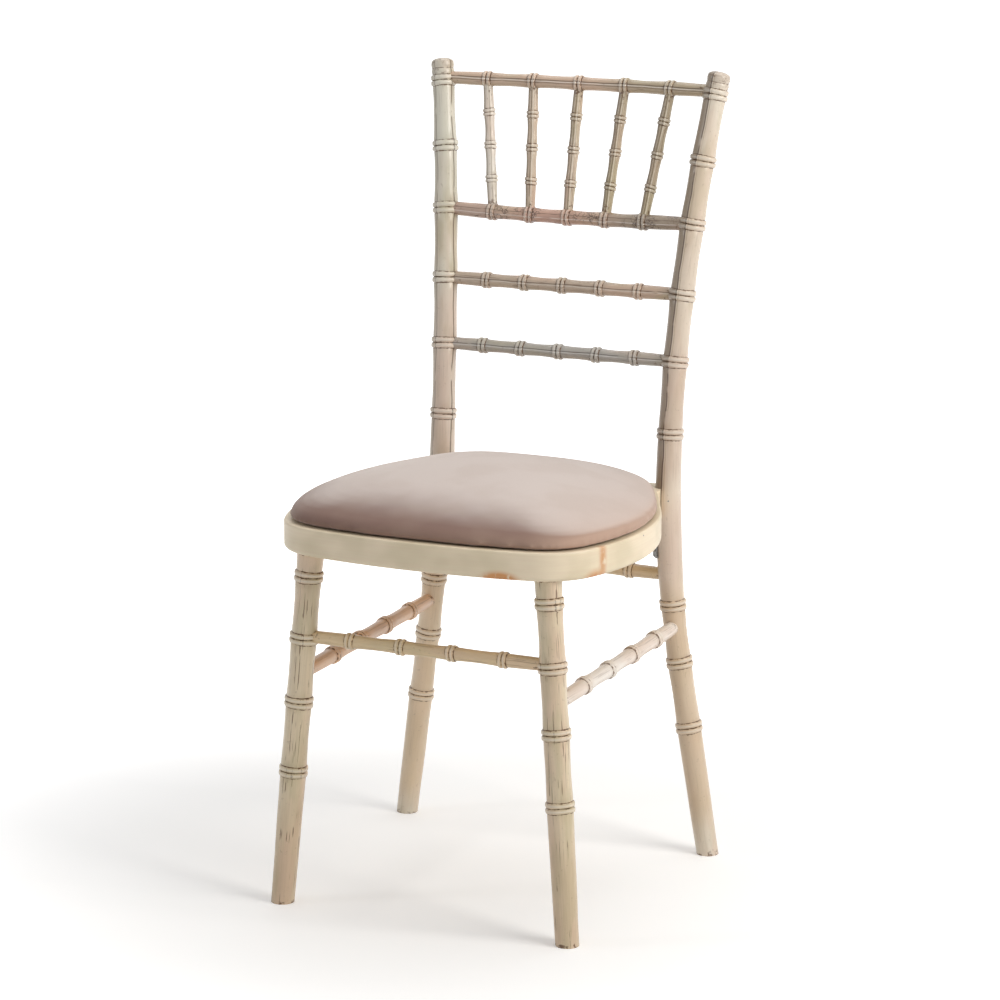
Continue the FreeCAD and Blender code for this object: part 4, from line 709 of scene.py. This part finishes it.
def post_profile():
    """Post from its foot to the dome of its finial."""
    place, radius = POST_RINGS[-1]
    base = place + POST_BEAD[0] + 1.0
    cap = POST_HEIGHT - FINIAL_CAP_LENGTH
    band = cap - FINIAL_GROOVE
    dome = POST_HEIGHT - FINIAL_DOME_LENGTH
    end = [(base, radius, 0.3), ((base + band) / 2, FINIAL_RADIUS, 0.0), (band, radius, 0.2),
           ((band + cap) / 2, FINIAL_NECK_RADIUS, 1.0), (cap, radius, 0.2),
           ((cap + dome) / 2, FINIAL_RADIUS, 0.1), (dome, radius, 0.3)]
    for step in range(1, DOME_STEPS):
        turn = math.radians(90 * step / DOME_STEPS)
        end.append((dome + FINIAL_DOME_LENGTH * math.sin(turn) ** 1.3, radius * math.cos(turn) ** 0.8, 0.1))
    waists = [WAIST_DEPTH] * len(POST_RINGS) + [0.0]
    waists[0] = 0.0
    waists[SEAT_SPAN + 1] = -POST_SEAT_SWELL
    last = [(place - POST_BEAD[0] - 2 * GROOVE_SIDE, radius, 0.0)]
    points = turned_profile(foot_profile(POST_FOOT_RADIUS), POST_RINGS[:-1], last, POST_BEAD, waists[:-1])
    ring = [point for point in ring_profile(place, radius, POST_BEAD) if point[0] < base]
    return points + ring + end


def leg_profile():
    """Leg from its foot to the shoulder under the seat frame."""
    length = (LEG_TOP - LEG_FOOT).length
    scale = length / LEG_TOP.z
    rings = [(height * scale, LEG_RADIUS) for height in LEG_RING_HEIGHTS]
    waists = [0.0] + [WAIST_DEPTH] * (len(rings) - 1) + [0.0]
    end = [(length - 3.0, LEG_SHOULDER_RADIUS, 0.0), (length - 1.0, LEG_SHOULDER_RADIUS, 0.9),
           (length + 3.0, LEG_SHOULDER_RADIUS, 1.0)]
    return turned_profile(foot_profile(LEG_FOOT_RADIUS), rings, end, POST_BEAD, waists)


# Sticks
def wobble(place, turn, seed):
    """How far the turner's hand strayed, from -1 to 1, at a place along a stick and an angle round it."""
    slow = math.sin(0.071 * place + 2.3 * seed) * math.sin(turn + 1.7 * seed)
    quick = math.sin(0.19 * place - 1.1 * seed) * math.sin(2 * turn + 0.9 * seed)
    return 0.65 * slow + 0.35 * quick


def turn_stick(node, profile, path, side, seed, material):
    """Spins a profile round an upright axis, roughens it as by hand, lays it along its path and saws it off
    at the floor. side is the direction that the stick's own X axis keeps near to."""
    bm = bmesh.new()
    groove = bm.verts.layers.float.new("groove")
    lathe = bm.verts.layers.float_vector.new("lathe")
    stick_number = bm.verts.layers.float.new("stick")
    chain = [bm.verts.new((radius, 0, place)) for place, radius, _ in profile]
    chain.insert(0, bm.verts.new((0, 0, profile[0][0])))
    chain.append(bm.verts.new((0, 0, profile[-1][0])))
    glazes = [profile[0][2]] + [glaze for _, _, glaze in profile] + [profile[-1][2]]
    for vert, glaze in zip(chain, glazes):
        vert[groove] = glaze
    edges = [bm.edges.new(pair) for pair in zip(chain, chain[1:])]
    bmesh.ops.spin(bm, geom=chain + edges, cent=(0, 0, 0), axis=(0, 0, 1), dvec=(0, 0, 0),
                   angle=2 * math.pi, steps=STICK_SIDES, use_merge=True, use_duplicate=False)
    bmesh.ops.remove_doubles(bm, verts=bm.verts, dist=0.001)

    length = profile[-1][0]
    for vert in bm.verts:
        x, y, place = vert.co
        vert[lathe] = vert.co * MM
        vert[stick_number] = seed
        turn = math.atan2(y, x)
        stray = wobble(place, turn, seed)
        loose = max(0.0, min(1.0, place / WOBBLE_FADE, (length - place) / WOBBLE_FADE))
        centre = path(place + loose * RING_WOBBLE * wobble(place, turn + 1.0, seed + 0.5))
        ahead = (path(place + 0.5) - path(place - 0.5)).normalized()
        sideways = (side - ahead * side.dot(ahead)).normalized()
        swell = 1 + STICK_WOBBLE * stray / max(math.hypot(x, y), 1.0)
        vert.co = (centre + (sideways * x + ahead.cross(sideways) * y) * swell) * MM
        vert.co.y += SETTING_OUT * MM
    geometry = bm.verts[:] + bm.edges[:] + bm.faces[:]
    sawn = bmesh.ops.bisect_plane(bm, geom=geometry, plane_co=(0, 0, 0), plane_no=(0, 0, 1),
                                  clear_inner=True)["geom_cut"]
    bmesh.ops.edgenet_fill(bm, edges=[item for item in sawn if isinstance(item, bmesh.types.BMEdge)])
    bmesh.ops.recalc_face_normals(bm, faces=bm.faces)
    stick = object_from(bm, "turned_" + node, material)
    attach(stick, "chair_frame")
    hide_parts(node)


def object_from(bm, name, material):
    mesh = bpy.data.meshes.new(name)
    bm.to_mesh(mesh)
    bm.free()
    mesh.shade_smooth()
    mesh.set_sharp_from_angle(angle=TURNED_SHARP_ANGLE)
    mesh.materials.append(material)
    piece = bpy.data.objects.new(name, mesh)
    bpy.context.scene.collection.objects.link(piece)
    return piece


def finish_node(node, material):
    """Gives a piece of the frame its finish."""
    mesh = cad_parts[node].data
    mesh.materials.clear()
    mesh.materials.append(material)
    mesh.shade_smooth()
    mesh.set_sharp_from_angle(angle=SAWN_SHARP_ANGLE)


# Pad
def polar(angle, radius):
    """Plan vector at an angle that turns from straight ahead (-Y) towards +X."""
    turn = math.radians(angle)
    return Vector((radius * math.sin(turn), -radius * math.cos(turn), 0.0))


def arc_points(centre, radius, start, end):
    """Points along an arc, from its start up to but not with its end."""
    count = max(2, round(math.radians(end - start) * radius / PAD_ARC_STEP))
    return [centre + polar(start + (end - start) * step / count, radius) for step in range(count)]


def pad_plan():
    """Right half of the pad's plan, from the middle of the front to the middle of the back."""
    front = Vector((0, SEAT_FRONT_RADIUS - SEAT_FRONT_FORWARD, 0))
    corner = front + polar(SEAT_FRONT_HALF_ANGLE, SEAT_FRONT_RADIUS - SEAT_CORNER_RADIUS)
    side = corner - polar(SEAT_CORNER_END_ANGLE, SEAT_SIDE_RADIUS - SEAT_CORNER_RADIUS)
    taper_angle = 90 + SEAT_TAPER_ANGLE
    points = arc_points(front, SEAT_FRONT_RADIUS, 0, SEAT_FRONT_HALF_ANGLE)
    points += arc_points(corner, SEAT_CORNER_RADIUS, SEAT_FRONT_HALF_ANGLE, SEAT_CORNER_END_ANGLE)
    points += arc_points(side, SEAT_SIDE_RADIUS, SEAT_CORNER_END_ANGLE, taper_angle)
    start = side + polar(taper_angle, SEAT_SIDE_RADIUS)
    way = polar(taper_angle + 90, 1.0)
    outward = polar(taper_angle, PAD_BACK_CORNER_RADIUS)
    along = (PAD_BACK_SETBACK - PAD_BACK_CORNER_RADIUS - start.y + outward.y) / way.y
    back_corner = start + way * along - outward
    count = max(1, round(along / PAD_ARC_STEP))
    points += [start + way * (along * step / count) for step in range(count)]
    points += arc_points(back_corner, PAD_BACK_CORNER_RADIUS, taper_angle, 180)
    count = max(1, round(back_corner.x / PAD_ARC_STEP))
    for step in range(count + 1):
        points.append(Vector((back_corner.x * (1 - step / count), PAD_BACK_SETBACK, 0)))
    return points


def pad_sections():
    """Scale and height of each section of the pad, from its flat base to its crown."""
    sections = [(PAD_INSET_SCALE * PAD_BASE_SCALE, 0.0), (PAD_INSET_SCALE, PAD_WIDEST_RISE)]
    for scale in PAD_SECTIONS:
        edge = (1 - scale ** PAD_EDGE_POWER) ** (1 / PAD_EDGE_ROOT)
        rise = PAD_RISE * (PAD_EDGE_SHARE * edge + (1 - PAD_EDGE_SHARE) * (1 - scale ** 2))
        sections.append((PAD_INSET_SCALE * scale, rise))
    return sections


def pad_form():
    """Crowned form of the pad: its plan, drawn up through the sections and closed above and below."""
    half = pad_plan()
    plan = half + [Vector((-point.x, point.y, 0)) for point in reversed(half[1:-1])]
    centre = Vector((0, -PAD_CENTRE_FORWARD, 0))
    bm = bmesh.new()
    scale, _ = pad_sections()[0]
    ring = [bm.verts.new(centre + (point - centre) * scale) for point in plan]
    edges = list(bm.faces.new(ring).edges)
    for wider, rise in pad_sections()[1:]:
        grown = bmesh.ops.extrude_edge_only(bm, edges=edges)["geom"]
        verts = [item for item in grown if isinstance(item, bmesh.types.BMVert)]
        edges = [item for item in grown if isinstance(item, bmesh.types.BMEdge)]
        for vert in verts:
            vert.co = centre + (vert.co - centre) * (wider / scale)
            vert.co.z = rise
        scale = wider
    bmesh.ops.contextual_create(bm, geom=edges)
    bmesh.ops.translate(bm, verts=bm.verts, vec=(0, SETTING_OUT, PAD_BASE_HEIGHT))
    bmesh.ops.scale(bm, verts=bm.verts, vec=(MM, MM, MM))
    bmesh.ops.recalc_face_normals(bm, faces=bm.faces)
    return bm


def evaluated_mesh(piece):
    """The piece's mesh with its modifiers applied."""
    graph = bpy.context.evaluated_depsgraph_get()
    return bpy.data.meshes.new_from_object(piece.evaluated_get(graph), depsgraph=graph)


def swap_mesh(piece, mesh):
    piece.modifiers.clear()
    piece.data = mesh


def remeshed(piece, voxel):
    remesh = piece.modifiers.new("remesh", "REMESH")
    remesh.mode = "VOXEL"
    remesh.voxel_size = voxel
    swap_mesh(piece, evaluated_mesh(piece))


def inflate(piece, pressure, limit):
    """Fills the cover: cloth under pressure, held where it's stapled round the board, and moved no further
    than the limit."""
    start = [vert.co.copy() for vert in piece.data.vertices]
    base = min(point.z for point in start)
    held = piece.vertex_groups.new(name="held")
    low = base + PAD_HELD_HEIGHT * MM
    held.add([index for index, point in enumerate(start) if point.z < low], 1.0, "REPLACE")
    cloth = piece.modifiers.new("cloth", "CLOTH")
    cloth.settings.use_pressure = True
    cloth.settings.uniform_pressure_force = pressure
    cloth.settings.effector_weights.gravity = 0.0
    cloth.settings.vertex_group_mass = held.name
    for number in range(1, PAD_FILL_FRAMES + 1):
        bpy.context.scene.frame_set(number)
    mesh = evaluated_mesh(piece)
    swap_mesh(piece, mesh)
    bpy.context.scene.frame_set(1)
    for vert, point in zip(mesh.vertices, start):
        moved = vert.co - point
        if moved.length > limit:
            vert.co = point + moved * (limit / moved.length)
    piece.vertex_groups.clear()


def from_pad_centre(point):
    """Angle from straight ahead and distance in millimetres of a point from the middle of the pad's plan."""
    across, back = abs(point.x), point.y + PAD_CENTRE_FORWARD
    return math.atan2(across, -back), math.hypot(across, back)


def smooth_share(value, start, end):
    share = min(max((value - start) / (end - start), 0.0), 1.0)
    return share ** 2 * (3 - 2 * share)


def turn_under(mesh):
    """Sinks the middle of the underside into the pad's board, so that the cover ends in a fold round it."""
    angles, radii = zip(*(from_pad_centre(point) for point in pad_plan()))
    half_width = max(point.x for point in pad_plan())
    opening = PAD_INSET_SCALE * PAD_BASE_SCALE - PAD_TURN_UNDER / half_width
    base = PAD_BASE_HEIGHT * MM
    for vert in mesh.vertices:
        if vert.co.z < base + MM:
            angle, distance = from_pad_centre(vert.co / MM - Vector((0, SETTING_OUT, 0)))
            inside = (opening - distance / numpy.interp(angle, angles, radii)) * half_width
            sunk = smooth_share(inside, -PAD_TURN_SOFTNESS, PAD_TURN_SOFTNESS)
            edge = 1 - smooth_share(inside, -PAD_TURN_UNDER, -PAD_TURN_UNDER / 2)
            vert.co.z = base + (PAD_RECESS * sunk - PAD_SAG * edge) * MM
        elif vert.co.z < base + PAD_SAG_HEIGHT * MM:
            vert.co.z -= PAD_SAG * (1 - smooth_share(vert.co.z - base, 0.0, PAD_SAG_HEIGHT * MM)) * MM


def make_pad():
    """The upholstered pad: its form is remeshed, filled, smoothed and turned under its board."""
    piece = object_from(pad_form(), "suede_seat_pad", suede_cloth())
    remeshed(piece, pad().voxel)
    inflate(piece, pad().pressure, pad().swell_limit)
    smooth = piece.modifiers.new("smooth", "CORRECTIVE_SMOOTH")
    smooth.iterations = PAD_SMOOTHING
    smooth.use_only_smooth = True
    rounding = piece.modifiers.new("rounding", "SUBSURF")
    rounding.levels = 1
    rounding.render_levels = 1
    swap_mesh(piece, evaluated_mesh(piece))
    turn_under(piece.data)
    piece.data.transform(Matrix.Translation(PAD_SHIFT * MM))
    piece.data.shade_smooth()
    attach(piece, "seat_pad")
    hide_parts("pad_cover", "pad_foam")


def turned_wood(finish):
    """Turned beech in a finish, made once and kept by name."""
    name = "limewashed_beech_" + finish
    return bpy.data.materials.get(name) or turned_beech(name, FINISHES[finish])


# Operators
class CHAIR_OT_back_posts(bpy.types.Operator):
    """Turns and bends both back posts"""
    bl_idname = "chair.back_posts"
    bl_label = "Back posts"

    def execute(self, context):
        for seed, (word, hand) in enumerate((("left", -1), ("right", 1))):
            node = word + "_back_post"
            turn_stick(node, post_profile(), lambda height: post_point(height, hand), RIGHT, seed + 1,
                       turned_wood(word + "_post"))
        return {"FINISHED"}


class CHAIR_OT_front_legs(bpy.types.Operator):
    """Turns both front legs"""
    bl_idname = "chair.front_legs"
    bl_label = "Front legs"

    def execute(self, context):
        for seed, (word, hand) in enumerate((("left", -1), ("right", 1))):
            node = word + "_front_leg"
            line = straight_line(leg_point(0.0, hand), leg_point(LEG_TOP.z, hand))
            turn_stick(node, leg_profile(), line, RIGHT, seed + 3, turned_wood("leg"))
        return {"FINISHED"}


class CHAIR_OT_back_rails(bpy.types.Operator):
    """Turns the rails between the back posts"""
    bl_idname = "chair.back_rails"
    bl_label = "Rails between the posts"

    def execute(self, context):
        for seed, (node, (height, radius, count, pitch, _, _)) in enumerate(RAILS.items()):
            end = post_point(height, 1).x
            rings = [end + across for across in centred(count, pitch)]
            turn_stick(node, rail_profile(2 * end, radius, rings, RAIL_BEAD),
                       lambda place: rail_point(node, place - end), FORWARD, seed + 5,
                       turned_wood(RAIL_FINISHES[node]))
        return {"FINISHED"}


class CHAIR_OT_spindles(bpy.types.Operator):
    """Turns the five spindles of the gallery"""
    bl_idname = "chair.spindles"
    bl_label = "Spindles"

    def execute(self, context):
        tops = centred(len(SPINDLE_FINISHES), RAILS["top_rail"][3])
        feet = centred(len(SPINDLE_FINISHES), RAILS["gallery_rail"][3])
        for index, (top, foot) in enumerate(zip(tops, feet)):
            first, last = rail_point("gallery_rail", foot), rail_point("top_rail", top)
            length = (last - first).length
            rings = [length * (ring + 1) / (SPINDLE_RINGS + 1) for ring in range(SPINDLE_RINGS)]
            node = "spindle_%d" % (index + 1)
            turn_stick(node, rail_profile(length, SPINDLE_RADIUS, rings, SPINDLE_BEAD),
                       straight_line(first, last), RIGHT, index + 10, turned_wood(SPINDLE_FINISHES[index]))
        return {"FINISHED"}


class CHAIR_OT_stretchers(bpy.types.Operator):
    """Turns the front and side stretchers"""
    bl_idname = "chair.stretchers"
    bl_label = "Stretchers"

    def execute(self, context):
        height, radius, count, pitch = FRONT_STRETCHER
        left, right = leg_point(height, -1), leg_point(height, 1)
        rings = [right.x + across for across in centred(count, pitch)]
        turn_stick("front_stretcher", rail_profile((right - left).length, radius, rings, RAIL_BEAD),
                   straight_line(left, right), FORWARD, 15, turned_wood("stretcher"))
        front, back = SIDE_STRETCHER_HEIGHTS
        sides = (("left", -1, "warm_stretcher"), ("right", 1, "pale_stretcher"))
        for seed, (word, hand, finish) in enumerate(sides):
            node = word + "_side_stretcher"
            first, last = leg_point(front, hand), post_point(back, hand)
            profile = rail_profile((last - first).length, SIDE_STRETCHER_RADIUS, SIDE_STRETCHER_RINGS,
                                   RAIL_BEAD)
            turn_stick(node, profile, straight_line(first, last), RIGHT, seed + 16, turned_wood(finish))
        return {"FINISHED"}


class CHAIR_OT_seat_frame(bpy.types.Operator):
    """Finishes the seat frame, its board, blocks and dowels"""
    bl_idname = "chair.seat_frame"
    bl_label = "Seat frame"

    def execute(self, context):
        wash = frame_wash()
        for node in ("seat_front_rail", "seat_left_rail", "seat_right_rail", "seat_back_rail"):
            finish_node(node, wash)
        beech = plain_wood("sawn_beech", wood().raw_beech, 1.5, 60)
        for node in ("frame_dowels", "post_dowels", "front_corner_blocks", "back_corner_blocks"):
            finish_node(node, beech)
        ply = plain_wood("birch_plywood", wood().plywood, 3.0, 120)
        for node in ("seat_board", "pad_board"):
            finish_node(node, ply)
        return {"FINISHED"}


class CHAIR_OT_fittings(bpy.types.Operator):
    """Finishes the brackets, screws, nails, pins, staples and tapes"""
    bl_idname = "chair.fittings"
    bl_label = "Fittings"

    def execute(self, context):
        dull = zinc_steel("zinc_plated_steel_dull", linear("#6f6c69"), 0.45)
        for node in ("left_back_bracket", "right_back_bracket"):
            finish_node(node, dull)
        bright = zinc_steel("zinc_plated_steel", linear("#8f8c88"), 0.35)
        for node in ("block_screws", "bracket_screws", "board_nails", "post_pins", "side_pins",
                     "pad_staples"):
            finish_node(node, bright)
        tape = tape_cloth()
        for node in ("hook_tapes", "loop_tapes"):
            finish_node(node, tape)
        return {"FINISHED"}


class CHAIR_OT_seat_pad(bpy.types.Operator):
    """Makes the upholstered seat pad"""
    bl_idname = "chair.seat_pad"
    bl_label = "Seat pad"

    def execute(self, context):
        make_pad()
        return {"FINISHED"}


class CHAIR_OT_stage(bpy.types.Operator):
    """Sets up the floor, the lamps and the camera"""
    bl_idname = "chair.stage"
    bl_label = "Stage"

    def execute(self, context):
        make_floor()
        light_world()
        for name, place, aim, size, power, colour in LAMPS:
            add_lamp(name, Vector(place), Vector(aim), size, power, linear(colour))
        add_camera()
        context.scene.view_settings.view_transform = "Standard"
        return {"FINISHED"}


# Stage
def seen_rays(tree):
    """1 for what the camera sees directly, in a mirror or through glass."""
    path = tree.nodes.new("ShaderNodeLightPath")
    seen = path.outputs["Is Camera Ray"]
    for ray in ("Is Glossy Ray", "Is Transmission Ray"):
        seen = add_node(tree, "ShaderNodeMath", {0: seen, 1: path.outputs[ray]}, operation="MAXIMUM")
    return seen


def make_floor():
    """White floor: it's lit and shaded near the chair and plainly white farther off."""
    bm = bmesh.new()
    bmesh.ops.create_grid(bm, x_segments=1, y_segments=1, size=FLOOR_REACH)
    material, tree = new_material("white_studio_floor")
    place = add_node(tree, "ShaderNodeTexCoord", out="Object")
    away = add_node(tree, "ShaderNodeVectorMath", {0: place}, out=1, operation="LENGTH")
    glow = add_node(tree, "ShaderNodeMapRange",
                    {"Value": away, "From Min": FLOOR_LIT_WITHIN, "From Max": FLOOR_WHITE_BEYOND,
                     "To Min": FLOOR_GLOW_NEAR, "To Max": 1.0}, interpolation_type="SMOOTHSTEP")
    glow = add_node(tree, "ShaderNodeMath", {0: glow, 1: seen_rays(tree)}, operation="MULTIPLY")
    lit = add_node(tree, "ShaderNodeBsdfDiffuse", {"Color": linear("#f6f6f6")})
    bright = add_node(tree, "ShaderNodeEmission", {"Color": stage().background, "Strength": glow})
    shader = add_node(tree, "ShaderNodeAddShader", {0: lit, 1: bright})
    finish_material(tree, shader)
    object_from(bm, "studio_floor", material)


def light_world():
    world = bpy.data.worlds.new("studio")
    bpy.context.scene.world = world
    world.use_nodes = True
    tree = world.node_tree
    tree.nodes.clear()
    strength = add_node(tree, "ShaderNodeMapRange",
                        {"Value": seen_rays(tree), "To Min": WORLD_LIGHT, "To Max": 1.0})
    light = add_node(tree, "ShaderNodeBackground", {"Color": stage().background, "Strength": strength})
    output = tree.nodes.new("ShaderNodeOutputWorld")
    tree.links.new(light, output.inputs["Surface"])


def stand(name, data, place, aim):
    """Stands a lamp or a camera at a place and turns it to what it looks at."""
    piece = bpy.data.objects.new(name, data)
    piece.location = place
    piece.rotation_euler = (aim - place).to_track_quat("-Z", "Y").to_euler()
    bpy.context.scene.collection.objects.link(piece)
    return piece


def add_lamp(name, place, aim, size, power, colour):
    light = bpy.data.lights.new(name, "AREA")
    light.energy = power
    light.size = size
    light.color = colour[:3]
    stand(name, light, place, aim)


def add_camera():
    data = bpy.data.cameras.new("camera")
    data.sensor_width = CAMERA_SENSOR
    data.lens = stage().lens
    place, aim = Vector(stage().camera_place), Vector(stage().camera_aim)
    bpy.context.scene.camera = stand("camera", data, place, aim)


class CHAIR_PT_sidebar(bpy.types.Panel):
    """Lists the steps that make the chair"""
    bl_idname = "CHAIR_PT_sidebar"
    bl_label = "Chiavari Chair"
    bl_space_type = "VIEW_3D"
    bl_region_type = "UI"
    bl_category = "Chair"

    def draw(self, context):
        for step in STEPS:
            self.layout.operator(step.bl_idname)
        for settings in (wood(), pad(), stage()):
            for name in settings.__annotations__:
                self.layout.prop(settings, name)


STEPS = (CHAIR_OT_back_posts, CHAIR_OT_front_legs, CHAIR_OT_back_rails, CHAIR_OT_spindles,
         CHAIR_OT_stretchers, CHAIR_OT_seat_frame, CHAIR_OT_fittings, CHAIR_OT_seat_pad, CHAIR_OT_stage)
SETTINGS = {
    "chair_wood": ChairWoodSettings,
    "chair_pad": ChairPadSettings,
    "chair_stage": ChairStageSettings,
}


def register():
    for kind in (*SETTINGS.values(), *STEPS, CHAIR_PT_sidebar):
        bpy.utils.register_class(kind)
    for name, kind in SETTINGS.items():
        setattr(bpy.types.Scene, name, bpy.props.PointerProperty(type=kind))


def unregister():
    for name in SETTINGS:
        delattr(bpy.types.Scene, name)
    for kind in reversed((*SETTINGS.values(), *STEPS, CHAIR_PT_sidebar)):
        bpy.utils.unregister_class(kind)


def main():
    register()
    bpy.ops.chair.back_posts()
    bpy.ops.chair.front_legs()
    bpy.ops.chair.back_rails()
    bpy.ops.chair.spindles()
    bpy.ops.chair.stretchers()
    bpy.ops.chair.seat_frame()
    bpy.ops.chair.fittings()
    bpy.ops.chair.seat_pad()
    bpy.ops.chair.stage()


if __name__ == "__main__":
    main()
